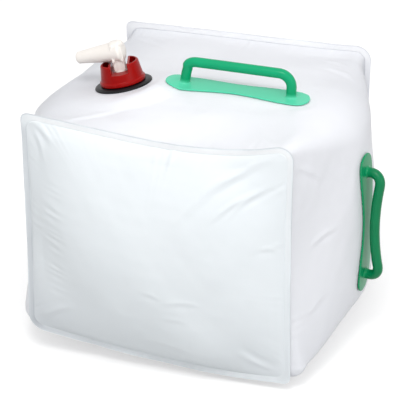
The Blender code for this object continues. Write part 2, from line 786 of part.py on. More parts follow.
def grip_route(place, height, sag, sway):
    """Points of the grip: up one leg, round a bend, along the grip and down again."""
    leg = LEG_SPACING / 2
    start = BASE_SEAT_GAP + LEG_ROOT_DEPTH
    half = [(leg, start, 0.0), (leg, BASE_SEAT_GAP + BASE_THICKNESS + LEG_ROOT_DEPTH, 0.0)]
    for step in range(BEND_POINTS + 1):
        angle = math.pi / 2 * step / BEND_POINTS
        along = leg - GRIP_BEND_RADIUS * (1 - math.cos(angle))
        half.append((along, height - GRIP_BEND_RADIUS * (1 - math.sin(angle)), 0.0))
    flat = leg - GRIP_BEND_RADIUS
    for step in range(1, GRIP_POINTS // 2 + 1):
        half.append((flat * (1 - 2 * step / GRIP_POINTS), height, 0.0))
    route = half + [(-along, out, across) for along, out, across in reversed(half[:-1])]
    points = []
    for along, out, across in route:
        drop = max(0.0, 1 - (along / leg) ** 2)
        rise = out / height
        lean = SWAY_AT_LEGS_SHARE + (1 - SWAY_AT_LEGS_SHARE) * drop
        points.append(place(along, sway * rise * lean, out - sag * drop * rise))
    return points


def make_grip(name, points):
    """Round grip: a curve with a bevel and filled caps, made a mesh with welded caps."""
    curve = bpy.data.curves.new(name, "CURVE")
    curve.dimensions = "3D"
    curve.bevel_depth = GRIP_DIAMETER / 2
    curve.bevel_resolution = GRIP_SIDES_RESOLUTION
    curve.use_fill_caps = True
    spline = curve.splines.new("POLY")
    spline.points.add(len(points) - 1)
    for target, point in zip(spline.points, points):
        target.co = (*point, 1)
    guide = bpy.data.objects.new(name, curve)
    CUTTERS.objects.link(guide)
    bpy.context.view_layer.update()
    graph = bpy.context.evaluated_depsgraph_get()
    mesh = bpy.data.meshes.new_from_object(guide.evaluated_get(graph))
    work = bmesh.new()
    work.from_mesh(mesh)
    bmesh.ops.remove_doubles(work, verts=work.verts, dist=WELD_DISTANCE)
    grip = mesh_from_bmesh(name, work)
    grip.matrix_world = guide.matrix_world
    bpy.data.objects.remove(guide, do_unlink=True)
    bpy.data.meshes.remove(mesh)
    return link_cutter(grip)


def make_foot(name, place, along):
    """Spread foot where a leg meets the base."""
    work = bmesh.new()
    low = BASE_SEAT_GAP + LEG_ROOT_DEPTH
    high = BASE_SEAT_GAP + BASE_THICKNESS + FOOT_HEIGHT
    rows = []
    stages = (
        (GRIP_DIAMETER / 2 + FOOT_SPREAD, low),
        (GRIP_DIAMETER / 2 + FOOT_SPREAD / 2, BASE_SEAT_GAP + BASE_THICKNESS + FOOT_STEP_HEIGHT),
        (GRIP_DIAMETER / 2 - LEG_ROOT_DEPTH, high),
    )
    for radius, out in stages:
        row = []
        for step in range(PORT_STEPS):
            angle = math.tau * (step + 1 / 2) / PORT_STEPS
            place_along = along + radius * math.cos(angle)
            row.append(work.verts.new(place(place_along, radius * math.sin(angle), out)))
        rows.append(row)
    for first, second in zip(rows, rows[1:]):
        bridge(work, first, second)
    work.faces.new(rows[0])
    work.faces.new(rows[-1])
    bmesh.ops.triangulate(work, faces=work.faces)
    return link_cutter(mesh_from_bmesh(name, work))


def make_handle(name, place, height, sag, sway):
    handle = make_base(name, place)
    for along in (-LEG_SPACING / 2, LEG_SPACING / 2):
        boolean(handle, make_foot(name + "_foot", place, along), "UNION")
    boolean(handle, make_grip(name + "_grip", grip_route(place, height, sag, sway)), "UNION")
    return link_part(handle, GREEN)


def top_place(along, across, out):
    """Point above the top film at the top handle."""
    x = TOP_HANDLE_X + along
    y = TOP_HANDLE_Y + across
    return top_point(x, y) + film_normal(top_point, x, y) * out


def side_place(along, across, out):
    """Point outside the right wall's film at the side handle; along runs upwards."""
    y = SIDE_HANDLE_Y + across
    z = SIDE_HANDLE_Z + along
    return right_point(y, z) + film_normal(right_point, y, z) * out


def main():
    make_band()
    make_panel("front_panel", -1, FRONT_BULGE)
    make_panel("rear_panel", 1, REAR_BULGE)
    make_neck()
    make_gasket()
    smooth(make_cap())
    make_o_ring()
    make_spout()
    make_handle("top_handle", top_place, TOP_GRIP_HEIGHT, TOP_GRIP_SAG, TOP_GRIP_SWAY)
    make_handle("side_handle", side_place, SIDE_GRIP_HEIGHT, SIDE_GRIP_SAG, SIDE_GRIP_SWAY)


main()
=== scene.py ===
"""Looks of the collapsible water carrier: milky welded film, green handles, red tap cap.

Metres, +Z up, in the part's own frame: the front panel faces -Y, the side handle is on +X.
The film's formulas and sizes are the part's, at a finer step and with its creases.
"""
import math

import bmesh
import bpy
import numpy as np
from mathutils import Matrix, Vector


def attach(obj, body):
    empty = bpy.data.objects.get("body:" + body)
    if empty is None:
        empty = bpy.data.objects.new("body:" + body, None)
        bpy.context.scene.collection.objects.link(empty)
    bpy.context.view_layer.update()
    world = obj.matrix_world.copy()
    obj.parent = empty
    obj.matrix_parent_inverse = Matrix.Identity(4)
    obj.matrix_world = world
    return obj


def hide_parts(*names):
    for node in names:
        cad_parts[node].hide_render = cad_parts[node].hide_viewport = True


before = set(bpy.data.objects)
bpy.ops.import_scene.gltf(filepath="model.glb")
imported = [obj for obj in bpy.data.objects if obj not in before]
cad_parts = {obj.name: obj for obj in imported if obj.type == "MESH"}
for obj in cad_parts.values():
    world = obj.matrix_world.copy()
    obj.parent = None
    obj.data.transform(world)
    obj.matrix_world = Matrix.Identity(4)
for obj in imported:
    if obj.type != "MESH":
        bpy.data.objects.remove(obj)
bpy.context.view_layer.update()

# The photograph's viewpoint, fitted to the bag's seams and outline
AZIMUTH = math.radians(18.99)
ELEVATION = math.radians(23.99)
ROLL = math.radians(-0.257)
DISTANCE = 1.9787
TARGET = Vector((-0.0039, 0.0, 0.1218))
LENS = 176.23
SENSOR = 36.0
PHOTO_SIDE = 400
# The filled film, as in the part
PANEL_WIDTH = 0.259
BAG_DEPTH = 0.2805
SEAM_HEIGHT = 0.2482
SEAM_FLOOR = 0.0065
SEAM_MIDDLE = (SEAM_HEIGHT + SEAM_FLOOR) / 2
HALF_SEAM = (SEAM_HEIGHT - SEAM_FLOOR) / 2
FLANGE_WIDTH = 0.006
FILM = 0.0005
HALF_WELD = 0.00015
SEAM_CORNER_RADIUS = 0.011
MID_CORNER_RADIUS = 0.032
TOP_CROWN = 0.0059
RIGHT_BULGE = 0.0435
LEFT_BULGE = 0.0451
BOTTOM_SAG = 0.019
PANEL_BULGE = 0.036
FRONT_SEAM_BOW = 0.0131
FRONT_BOW_SKEW = 0.53
REAR_SEAM_BOW = 0.0016
REAR_BOW_SKEW = 1.0
SIDE_SEAM_BOW = 0.0027
LEFT_CORNER_LIFT = 0.024
RIGHT_CORNER_LIFT = 0.0075
LEFT_SHOULDER_DROP = 0.018
RIGHT_HEEL_LIFT = 0.012
SEAM_ROUND_SHARE = 0.04
MID_ROUND_SHARE = 0.25
BULGE_POWER = 1.83
PANEL_POWER = 0.8
LIFT_ACROSS_POWER = 1.3
LIFT_DOWN_POWER = 1.5
LOW_BULGE_POWER = 0.55
RIGHT_LIFT_POWER = 4
SHOULDER_POWER = 6
SHOULDER_FADE_POWER = 0.7

# The neck, the cap and the spout, as in the part, about the neck's leaning axis
NECK = Vector((-0.0740, -0.0250, 0.247249))
NECK_LEAN = math.radians(11.5)
NECK_FLAT_RADIUS = 0.041
NECK_FADE_RADIUS = 0.066
NECK_HOLE_RADIUS = 0.0200
NECK_BORE_RADIUS = 0.0148
NECK_OUTER = 0.0170
NECK_HEIGHT = 0.0108
NECK_COLLAR_DEPTH = 0.006
FLANGE_RING_RADIUS = 0.0286
FLANGE_RING_THICKNESS = 0.0024
CAP_BASE_RADIUS = 0.0226
CAP_TOP_RADIUS = 0.0188
CAP_HEIGHT = 0.0235
CAP_FOOT = 0.0032
CAP_BEAD_HEIGHT = 0.0034
CAP_BEAD_STEP = 0.0008
CAP_EDGE = 0.0009
CAP_PLATE_BOTTOM = 0.0125
CAP_PLATE_TOP = 0.0149
CAP_NOTCH_WIDTH = 0.0166
CAP_LUG_WALL = 0.0022
CAP_LUG_FLOOR = 0.0020
CAP_SKIRT_BORE = 0.0181
SOCKET_BORE = 0.0072
SOCKET_OUTER = 0.0090
SOCKET_BOTTOM = -0.0005
SOCKET_FLOOR = 0.0015
BARREL_RADIUS = 0.0069
BARREL_BOTTOM = 0.0013
PORT_HEIGHT = 0.0062
LEG_RADIUS = 0.0064
KNUCKLE_RADIUS = 0.0108
KNUCKLE_HEIGHT = 0.0346
KNUCKLE_OFFSET = 0.0042
NOZZLE_DROOP = math.radians(4)
NOZZLE_LENGTH = 0.0475
NOZZLE_ROOT_RADIUS = 0.0104
NOZZLE_TIP_RADIUS = 0.0060
SPOUT_BORE_RADIUS = 0.0042
NOZZLE_BORE_RADIUS = 0.0045
FIN_THICKNESS = 0.0024
FIN_SPACING = 0.0088
FIN_REACH = 0.0058
FIN_CLEARANCE = 0.0008
CAP_PORT_RADIUS = 0.0027
SPOUT_PORT_RADIUS = 0.0025
TOUCH_GAP = 0.0003

# Forms of the neck, the cap and the spout that only the scene has
FACE_TURN = math.radians(19)
HUB_RADIUS = 0.0078
HUB_TOP = 0.0452
HUB_FOOT_TOP = 0.0245
FIN_TOP_DROP = 0.0080
RIB_REACH = 0.0083
RIB_FOOT_GAP = 0.0008
RIB_TOP_DROP = 0.0022
HUB_FLARE = 0.006
# The hub's rounded top edge: share of its radius, and how far below its top
HUB_EDGE = ((0.55, 0.0003), (0.88, 0.0014), (1.0, 0.0034))
DOME_FLATTENING = 0.34
NOZZLE_TIP_EDGE = 0.0016
NECK_EDGE = 0.0005
NECK_FILLET = 0.0006
# The weld flange's outline: in from its radius and below its top, then over its base
FLANGE_SHOULDER = ((0.0031, 0.0), (0.0024, 0.0002))
FLANGE_RIM = ((0.0012, 0.0016), (0.0004, 0.0012), (0.0, 0.0007), (0.0, 0.0001), (0.0001, 0.0))
CUT_PAST = 0.004

# The handles, as in the part, with narrower bases and more sag in the side grip
HANDLE_LENGTH = 0.145
HANDLE_END_WIDTH = 0.031
HANDLE_WAIST_WIDTH = 0.022
BASE_THICKNESS = 0.0016
BASE_SEAT_GAP = 0.0006
LEG_SPACING = 0.108
GRIP_RADIUS = 0.0050
GRIP_BEND_RADIUS = 0.013
LEG_ROOT_DEPTH = 0.0006
FOOT_SPREAD = 0.0030
FOOT_HEIGHT = 0.0035
SWAY_AT_LEGS_SHARE = 0.4
BASE_END_POWER = 3
TOP_HANDLE = (0.042, -0.021)
TOP_GRIP = (0.0250, 0.0008, 0.0)
SIDE_HANDLE = (-0.013, 0.1275)
SIDE_GRIP = (0.0185, 0.0074, -0.006)

# Steps of the fine forms
LOOP_STEPS = (132, 100, 50, 100)
CORNER_STEPS = 10
DEPTH_ROWS = 150
DEPTH_INSET = 2.2
PANEL_ROWS = 76
PANEL_ROW_POWER = 1.25
PANEL_CLOSING_SHARE = 0.996
NECK_STEPS = 128
CAP_STEPS = 96
SPOUT_STEPS = 64
BORE_STEPS = 48
MERGE_DISTANCE = 0.000003
FILM_SHARP_ANGLE = math.radians(55)
NECK_SHARP_ANGLE = math.radians(40)

# Voxel size and rounds of smoothing of each melted moulding
HANDLE_SKIN = (0.00062, 6)
CAP_SKIN = (0.00040, 3)
SPOUT_SKIN = (0.00036, 4)

# The weld flanges: how far each loop reaches, their waves, and their pointed corners
FLANGE_REACHES = (1.0, 0.93, 0.86, 0.78, 0.66, 0.54, 0.42, 0.3, 0.2, 0.1, 0.04)
FLANGE_LOOPS = len(FLANGE_REACHES)
FLANGE_FLUTTER = 0.00035
FLANGE_EAR = 0.75
FLANGE_EAR_POWER = 14

# Relief of the film: heights, reaches and steps in metres, and the creases' shares
BAND_DENTS = 0.0009
PANEL_DENTS = 0.0011
RIPPLE_HEIGHT = 0.00010
BAND_GATHERS = 0.00038
BAND_GATHER_REACH = 0.016
PANEL_GATHERS = 0.00033
PANEL_GATHER_REACH = 0.015
GATHER_RISE = 0.0025
RING_HEIGHT = 0.00022
LADDER_HEIGHT = 0.00040
LADDER_STEP = 0.0083
CREASE_GAIN = 1.7
CREASE_BOW = 0.06
CREASE_DIP = 0.6
FLOOR_GAP = 0.0002

# Where the film counts as the bag's top or its right wall
TOP_FROM = 0.2
RIGHT_FROM = 0.12

# Painted light and shade in the film's colour: positive is painted shade, darker; negative is painted
# light, lighter
FLANGE_PAINTED_LIGHT = 0.85
BAND_LINE_GAIN = 0.4
PANEL_LINE_GAIN = 1.0
LEFT_CORNER_PAINTED_SHADE = 0.60
RIGHT_CORNER_PAINTED_SHADE = 0.34
TOP_LEFT_PAINTED_SHADE = 0.40
TOP_RIGHT_PAINTED_SHADE = 0.28
LOW_RIGHT_PAINTED_SHADE = 0.28
# Greyness of the flange's two lines: everywhere, and where it faces left, up and right. The edge line is
# a painted shadow along the outer edge; the weld line is the weld's own line, with painted shade where
# the flange faces left
EDGE_PAINTED_SHADOW = (0.10, 0.60, 0.80, 0.60)
WELD_LINE_AND_PAINTED_SHADE = (0.04, 0.65, 0.10, 0.06)

# Two taut folds of the film, low on the right and high on the left, each through two
# points of the photograph, in pixels, and the small tuck in the low one
HEEL_FOLD = ((301, 374), (363, 293))
SHOULDER_FOLD = ((120, 38.5), (45, 102))
FOLD_SOFTNESS = 0.0018
FOLD_FADE = 0.030
TUCK_REACH = 0.0055
TUCK_PEAK = 0.008
TUCK_FADE = 0.009


def ramp(value, start, end):
    """0 up to the start, 1 from the end on, and straight between; the end may be lower."""
    return np.clip((value - start) / (end - start), 0, 1)


def smooth(share):
    return share * share * (3 - 2 * share)


def hump(value, middle, width):
    return np.exp(-((value - middle) / width) ** 2)


def camera_axes():
    """The photograph's directions to the right, up, and back towards the eye."""
    level = math.cos(ELEVATION)
    back = Vector((math.sin(AZIMUTH) * level, -math.cos(AZIMUTH) * level, math.sin(ELEVATION)))
    right = Vector((0, 0, 1)).cross(back).normalized()
    up = back.cross(right)
    turned_right = right * math.cos(ROLL) + up * math.sin(ROLL)
    turned_up = up * math.cos(ROLL) - right * math.sin(ROLL)
    return turned_right, turned_up, back


def photo_ray(pixel):
    """The direction from the eye through a point of the photograph."""
    right, up, back = camera_axes()
    step = SENSOR / LENS / PHOTO_SIDE
    across = (pixel[0] - PHOTO_SIDE / 2) * step
    down = (pixel[1] - PHOTO_SIDE / 2) * step
    return right * across - up * down - back


def fold_plane(first, second):
    """Outward normal and offset of the plane through the eye and two points of the photograph."""
    normal = photo_ray(first).cross(photo_ray(second)).normalized()
    eye = TARGET + camera_axes()[2] * DISTANCE
    return np.array(normal), eye.dot(normal)


TAUT_FOLDS = (fold_plane(*HEEL_FOLD), fold_plane(*SHOULDER_FOLD))


def arch(place, power):
    """1 in the middle of a span from -1 to 1, and 0 at its ends."""
    return np.maximum(0.0, 1 - place ** 2) ** power


def swell_at(depth):
    return arch(depth, BULGE_POWER)


def rounding_at(swell):
    return SEAM_ROUND_SHARE + (MID_ROUND_SHARE - SEAM_ROUND_SHARE) * swell


def low_swell_at(up, depth):
    low_share = np.maximum(0.0, (1 - up) / 2) ** 2
    return low_share * (arch(depth, LOW_BULGE_POWER) - swell_at(depth))


def top_seam_hang(across, depth):
    front = FRONT_SEAM_BOW * (1 + FRONT_BOW_SKEW * across)
    rear = REAR_SEAM_BOW * (1 + REAR_BOW_SKEW * across)
    return (1 - across ** 2) * (front + (rear - front) * (1 + depth) / 2)


def corner_lift(across, up, depth):
    left = np.maximum(0.0, (1 - across) / 2)
    right = np.maximum(0.0, (1 + across) / 2)
    low = np.maximum(0.0, (1 - up) / 2)
    high = np.maximum(0.0, (1 + up) / 2)
    lift = LEFT_CORNER_LIFT * left ** LIFT_ACROSS_POWER * low ** LIFT_DOWN_POWER
    lift = lift + RIGHT_CORNER_LIFT * (right * low) ** RIGHT_LIFT_POWER
    fade = arch(depth, SHOULDER_FADE_POWER)
    heel = RIGHT_HEEL_LIFT * (right * low) ** SHOULDER_POWER
    shoulder = LEFT_SHOULDER_DROP * (left * high) ** SHOULDER_POWER
    return lift * np.abs(depth) + (heel - shoulder) * fade


def film_section(across, up, depth):
    """The part's section of the filled bag, for arrays of places on the unit square."""
    swell = swell_at(depth)
    rounding = rounding_at(swell)
    side_bulge = np.where(across > 0, RIGHT_BULGE, LEFT_BULGE)
    half_width = PANEL_WIDTH / 2 + side_bulge * swell - SIDE_SEAM_BOW * (1 - up ** 2) * (1 - swell)
    half_width = half_width + side_bulge * low_swell_at(up, depth)
    high = HALF_SEAM + TOP_CROWN * swell - top_seam_hang(across, depth) * (1 - swell)
    low = HALF_SEAM + BOTTOM_SAG * swell
    half_height = np.where(up > 0, high, low)
    x = half_width * across * np.sqrt(1 - rounding * up ** 2 / 2)
    z = SEAM_MIDDLE + half_height * up * np.sqrt(1 - rounding * across ** 2 / 2)
    return x, np.maximum(z + corner_lift(across, up, depth), 0.0)


def flatten_at_neck(x, y, z):
    distance = np.hypot(x - NECK.x, y - NECK.y)
    weight = (1 - smooth(ramp(distance, NECK_FLAT_RADIUS, NECK_FADE_RADIUS))) * (z > SEAM_MIDDLE)
    plane = NECK.z + (x - NECK.x) * math.tan(NECK_LEAN)
    return z + weight * (plane - z)


def film_points(across, up, depth):
    """Points of the band's film, drawn flat round the neck's leaning flange."""
    x, z = film_section(across, up, depth)
    y = depth * BAG_DEPTH / 2 + 0 * x
    return np.stack([x, y, flatten_at_neck(x, y, z)], -1)


def top_point(x, y):
    depth = 2 * y / BAG_DEPTH
    swell = swell_at(depth)
    side_bulge = RIGHT_BULGE if x > 0 else LEFT_BULGE
    reach = (PANEL_WIDTH / 2 + side_bulge * swell) * math.sqrt(1 - rounding_at(swell) / 2)
    z = float(film_section(np.float64(x / reach), np.float64(1.0), np.float64(depth))[1])
    return Vector((x, y, float(flatten_at_neck(x, y, z))))


def right_point(y, z):
    depth = 2 * y / BAG_DEPTH
    swell = swell_at(depth)
    sag = TOP_CROWN if z > SEAM_MIDDLE else BOTTOM_SAG
    reach = (HALF_SEAM + sag * swell) * math.sqrt(1 - rounding_at(swell) / 2)
    up = (z - SEAM_MIDDLE) / reach
    x = film_section(np.float64(1.0), np.float64(up), np.float64(depth))[0]
    return Vector((float(x), y, z))


def film_normal(point_of, first, second):
    step = FILM
    along = point_of(first + step, second) - point_of(first - step, second)
    across = point_of(first, second + step) - point_of(first, second - step)
    return along.cross(across).normalized()


def unit_loop(radius_share):
    """Places round the unit square with round corners, and each one's outward direction."""
    flat = 1 - radius_share
    places = []
    outward = []
    for turn, steps in enumerate(LOOP_STEPS):
        angle = math.pi / 2 * (1 - turn)
        normal = np.array([round(math.cos(angle)), round(math.sin(angle))], float)
        ahead = np.array([normal[1], -normal[0]])
        for share in np.linspace(-flat, flat, steps + 1):
            places.append(normal + ahead * share)
            outward.append(normal)
        centre = (normal + ahead) * flat
        for step in range(1, CORNER_STEPS):
            corner = angle - math.pi / 2 * step / CORNER_STEPS
            out = np.array([math.cos(corner), math.sin(corner)])
            places.append(centre + out * radius_share)
            outward.append(out)
    return np.array(places), np.array(outward)


SEAM_PLACES, SEAM_OUTWARD = unit_loop(2 * SEAM_CORNER_RADIUS / PANEL_WIDTH)


def seam_points(side):
    return film_points(SEAM_PLACES[:, 0], SEAM_PLACES[:, 1], np.float64(side))


def loop_arc(points):
    """Distance run round a closed loop of points, at each point."""
    steps = np.linalg.norm(np.roll(points, -1, 0) - points, axis=1)
    return np.concatenate([[0], np.cumsum(steps)[:-1]])


# Relief of the film: soft dents, gathers at the seams, and single creases

SEED = 7
RANDOM = np.random.default_rng(SEED)


def wave_set(count, shortest, longest):
    """Plane waves of random direction; their sum is a smooth, even noise."""
    waves = []
    for _ in range(count):
        direction = RANDOM.normal(size=3)
        direction /= np.linalg.norm(direction)
        length = math.exp(RANDOM.uniform(math.log(shortest), math.log(longest)))
        waves.append((direction * math.tau / length, RANDOM.uniform(0, math.tau), length / longest))
    return waves


def noise(points, waves):
    total = np.zeros(points.shape[:-1])
    for vector, phase, weight in waves:
        total += weight * np.sin(points @ vector + phase)
    return total / math.sqrt(sum(weight ** 2 for _, _, weight in waves) / 2)


def wrinkle_set(count, shortest, longest):
    return [(RANDOM.uniform(shortest, longest), RANDOM.uniform(0, math.tau)) for _ in range(count)]


DENTS = wave_set(22, 0.055, 0.16)
RIPPLES = wave_set(26, 0.012, 0.034)
FLUTTER = wave_set(18, 0.018, 0.07)
GATHER_WAVES = wrinkle_set(9, 0.0065, 0.015)
GATHER_SWELLS = wrinkle_set(5, 0.04, 0.13)

# Creases that the photograph shows: start, end, height and width, with the face they lie on
FRONT_CREASES = (
    ((0.0302, 0.1738), (0.1045, 0.2345), 0.00055, 0.0034),
    ((0.0620, 0.1785), (0.1055, 0.2085), 0.00070, 0.0026),
    ((0.0480, 0.2000), (0.0945, 0.2255), 0.00045, 0.0030),
    ((0.0765, 0.1810), (0.1175, 0.2155), 0.00055, 0.0024),
    ((0.0690, 0.2100), (0.1140, 0.2390), 0.00045, 0.0028),
    ((-0.003, 0.1015), (0.0155, 0.0955), 0.00028, 0.0022),
    ((0.0155, 0.0905), (0.0540, 0.0935), 0.00034, 0.0024),
    ((0.0165, 0.0725), (0.0380, 0.0735), 0.00030, 0.0022),
    ((-0.010, 0.0400), (0.0400, 0.0370), 0.00022, 0.0030),
    ((0.1065, 0.1540), (0.1230, 0.1490), 0.00035, 0.0020),
    ((0.0195, 0.2385), (0.0145, 0.2180), 0.00045, 0.0026),
    ((-0.1235, 0.2467), (-0.1000, 0.2280), 0.00060, 0.0026),
    ((-0.1235, 0.2440), (-0.1080, 0.2100), 0.00045, 0.0026),
    ((-0.1180, 0.0400), (-0.0850, 0.0620), 0.00045, 0.0030),
    ((0.1180, 0.0220), (0.0850, 0.0420), 0.00050, 0.0030),
)
RIGHT_CREASES = (
    ((-0.105, 0.1365), (-0.0684, 0.1447), 0.00055, 0.0026),
    ((-0.120, 0.0700), (-0.0800, 0.0850), 0.00032, 0.0030),
    ((-0.125, 0.2250), (-0.0850, 0.2000), 0.00045, 0.0030),
    ((0.1180, 0.2200), (0.0800, 0.1950), 0.00050, 0.0030),
    ((0.1200, 0.0500), (0.0700, 0.0750), 0.00045, 0.0032),
)
TOP_CREASES = (
    ((-0.1085, -0.135), (-0.0550, -0.0820), 0.00050, 0.0030),
    ((0.1030, 0.0830), (0.1350, 0.0670), 0.00070, 0.0028),
    ((0.0950, 0.1080), (0.1200, 0.0950), 0.00050, 0.0026),
    ((-0.1150, 0.125), (-0.0700, 0.0900), 0.00055, 0.0030),
    ((0.1150, -0.125), (0.0850, -0.0900), 0.00040, 0.0030),
)


def crease(first, second, start, end, height, width):
    """Outward relief of one crease: a soft ridge from start to end with a dip at its side."""
    axis = (end[0] - start[0], end[1] - start[1])
    length = math.hypot(*axis)
    share = ((first - start[0]) * axis[0] + (second - start[1]) * axis[1]) / length ** 2
    side = ((first - start[0]) * axis[1] - (second - start[1]) * axis[0]) / length
    held = np.clip(share, 0, 1)
    past = (share - held) * length
    across = side + CREASE_BOW * length * np.sin(np.pi * held)
    taper = np.sin(np.pi * np.clip(held, 0.03, 0.97)) ** 0.7 * hump(past, 0, width)
    ridge = hump(across, 0, width) - CREASE_DIP * hump(across, 2 * width, 1.3 * width)
    return CREASE_GAIN * height * taper * ridge


def creases(first, second, rows):
    return sum(crease(first, second, *row) for row in rows)


def wave_sum(arc, waves, phase):
    return sum(np.sin(math.tau * arc / length + start + phase) for length, start in waves)


def gathers(arc, distance, reach, phase):
    """Short wrinkles square to a seam, that come and go along it and fade away from it."""
    wave = wave_sum(arc, GATHER_WAVES, phase) / 3
    strength = np.clip(0.35 + 0.35 * wave_sum(arc, GATHER_SWELLS, 2 * phase), 0.1, 1.3)
    rise = 1 - hump(distance, 0, GATHER_RISE)
    return wave * strength * rise * np.exp(-distance / reach)


def past_flange(points):
    """Distance outside the rim of the neck's flange."""
    return np.hypot(points[..., 0] - NECK.x, points[..., 1] - NECK.y) - FLANGE_RING_RADIUS


def past_base(along, across):
    """Distance outside the outline of a handle's base, from places about its middle."""
    reach = np.maximum(0.0, np.abs(along) - (HANDLE_LENGTH - HANDLE_END_WIDTH) / 2)
    return np.hypot(reach, across) - HANDLE_END_WIDTH / 2


def keep_clear(points):
    """0 under the neck's flange and the handles' bases, 1 well away from them."""
    x, y, z = np.moveaxis(points, -1, 0)
    free = np.where(z > SEAM_MIDDLE, ramp(past_flange(points), 0.0025, 0.0125), 1.0)
    top = past_base(x - TOP_HANDLE[0], y - TOP_HANDLE[1])
    right = past_base(z - SIDE_HANDLE[1], y - SIDE_HANDLE[0])
    for distance, on_face in ((top, z > TOP_FROM), (right, x > RIGHT_FROM)):
        near = ramp(distance, 0.0015, 0.0115)
        free = np.where(on_face, np.minimum(free, near), free)
    return free


def top_rings(points):
    """Soft rings in the top's film, round the neck's flange and along the handle's base."""
    neck = past_flange(points)
    base = past_base(points[..., 0] - TOP_HANDLE[0], points[..., 1] - TOP_HANDLE[1])
    rings = np.exp(-neck / 0.016) * np.cos(math.tau * neck / 0.0105)
    rings += np.exp(-np.abs(base) / 0.012) * np.cos(math.tau * base / 0.012)
    return np.where(points[..., 2] > TOP_FROM, rings, 0.0)


def draw_in(points, weight):
    """Film that would stand past a taut fold's plane, drawn back to it softly."""
    for normal, offset in TAUT_FOLDS:
        past = (points @ normal - offset) / FOLD_SOFTNESS
        pull = FOLD_SOFTNESS * np.logaddexp(0.0, past) * weight
        points = points - pull[..., None] * normal
    return points


def corner_tuck(points, from_seam):
    """The film's small pointed fold behind the front panel's lower right corner, pushed out."""
    low_right = ramp(points[..., 0], 0.085, 0.130) * ramp(points[..., 2], 0.075, 0.020)
    rise = smooth(ramp(from_seam, 0, TUCK_PEAK))
    fall = hump(np.maximum(from_seam, TUCK_PEAK), TUCK_PEAK, TUCK_FADE)
    push = TUCK_REACH * low_right * rise * fall * (points[..., 1] < 0)
    return points + push[..., None] * TAUT_FOLDS[0][0]


def add_object(name, data):
    item = bpy.data.objects.new(name, data)
    bpy.context.scene.collection.objects.link(item)
    return item


def closed_mesh(name, outer, inner, faces, painted_shading, material):
    """A sheet's object from its two skins, with the film's painted light and shade at every point."""
    points = np.concatenate([outer.reshape(-1, 3), inner.reshape(-1, 3)])
    mesh = bpy.data.meshes.new(name)
    mesh.from_pydata(points.tolist(), [], faces)
    # The point attribute named seam carries this painted light and shade for the film's colour
    attribute = mesh.attributes.new("seam", "FLOAT", "POINT")
    attribute.data.foreach_set("value", np.tile(painted_shading.ravel(), 2))
    work = bmesh.new()
    work.from_mesh(mesh)
    loose = [vertex for vertex in work.verts if not vertex.link_faces]
    bmesh.ops.delete(work, geom=loose, context="VERTS")
    bmesh.ops.recalc_face_normals(work, faces=work.faces)
    work.to_mesh(mesh)
    work.free()
    mesh.shade_smooth()
    mesh.set_sharp_from_angle(angle=FILM_SHARP_ANGLE)
    mesh.materials.append(material)
    return add_object(name, mesh)


def sheet_faces(keep, lids=False):
    """Faces of a sheet's two skins, closed at free edges, or by lids on the innermost loops."""
    rows, columns = keep.shape
    half = (rows + 1) * columns
    last = rows * columns if lids else half
    faces = []
    border = {}
    for row in range(rows):
        for column in range(columns):
            if not keep[row, column]:
                continue
            after = (column + 1) % columns
            quad = (row * columns + column, row * columns + after,
                    (row + 1) * columns + after, (row + 1) * columns + column)
            faces.append(quad)
            faces.append(tuple(index + half for index in reversed(quad)))
            for first, second in zip(quad, quad[1:] + quad[:1]):
                if (second, first) in border:
                    del border[(second, first)]
                else:
                    border[(first, second)] = True
    for first, second in border:
        if min(first, second) < last:
            faces.append((second, first, first + half, second + half))
    if lids:
        faces.append(tuple(range(last, half)))
        faces.append(tuple(reversed(range(half + last, 2 * half))))
    return faces


def surface_normals(grid):
    along = np.gradient(grid, axis=0)
    around = np.roll(grid, -1, 1) - np.roll(grid, 1, 1)
    normal = np.cross(around, along)
    return normal / np.maximum(np.linalg.norm(normal, axis=2, keepdims=True), 1e-12)


def flange_loops(seam, flat):
    """The weld flange's loops, from its outer edge in to the seam, a little wavy outside."""
    slant = np.abs(SEAM_OUTWARD[:, 0] - SEAM_OUTWARD[:, 1]) / math.sqrt(2)
    width = FLANGE_WIDTH * (1 + FLANGE_EAR * slant ** FLANGE_EAR_POWER)
    loops = []
    for share in FLANGE_REACHES:
        points = seam.copy()
        points[:, 0] += SEAM_OUTWARD[:, 0] * share * width
        points[:, 2] += SEAM_OUTWARD[:, 1] * share * width
        points[:, 1] = 0.0
        points[:, 1] = flat + FLANGE_FLUTTER * noise(points, FLUTTER) * share ** 2
        loops.append(points)
    return loops


def flange_painted_shading(seam, outward, gain):
    """Painted light and shade on each flange loop: a painted shadow line at its outer edge, the weld's
    own line with painted shade at the seam, and between them painted shade on the left and low sides and
    painted light where it faces up.
    """
    arc = loop_arc(seam)
    place = np.stack([arc, arc * 0, arc * 0], -1)
    along = np.clip(0.7 + 0.3 * noise(place, FLUTTER), 0.15, 1.0) * gain
    right, high = np.maximum(0.0, outward.T)
    left, low = np.maximum(0.0, -outward.T)
    faces = np.stack([np.ones(arc.shape), left, high, right])
    edge_shadow_line = np.dot(EDGE_PAINTED_SHADOW, faces)
    weld_line = np.dot(WELD_LINE_AND_PAINTED_SHADE, faces)
    height = ramp(seam[:, 2], 0.03, 0.19)
    to_left = ramp(seam[:, 0], 0.05, -0.12)
    # Painted shade on the flange's left and low sides and low on its right; painted light where it faces
    # up and high on its right
    painted_shade = left * (0.9 - 0.5 * height) + low * (0.1 + 0.55 * to_left) + 0.3 * right * (1 - height)
    pale = np.clip(high + 0.5 * right * height, 0, 1)
    body = gain * painted_shade - FLANGE_PAINTED_LIGHT * pale
    rows = []
    for share in FLANGE_REACHES:
        lines = edge_shadow_line * hump(share, 1, 0.11) + weld_line * hump(share, 0.12, 0.09)
        rows.append(along * lines + body * math.exp(-((share - 0.45) / 0.45) ** 4))
    return rows


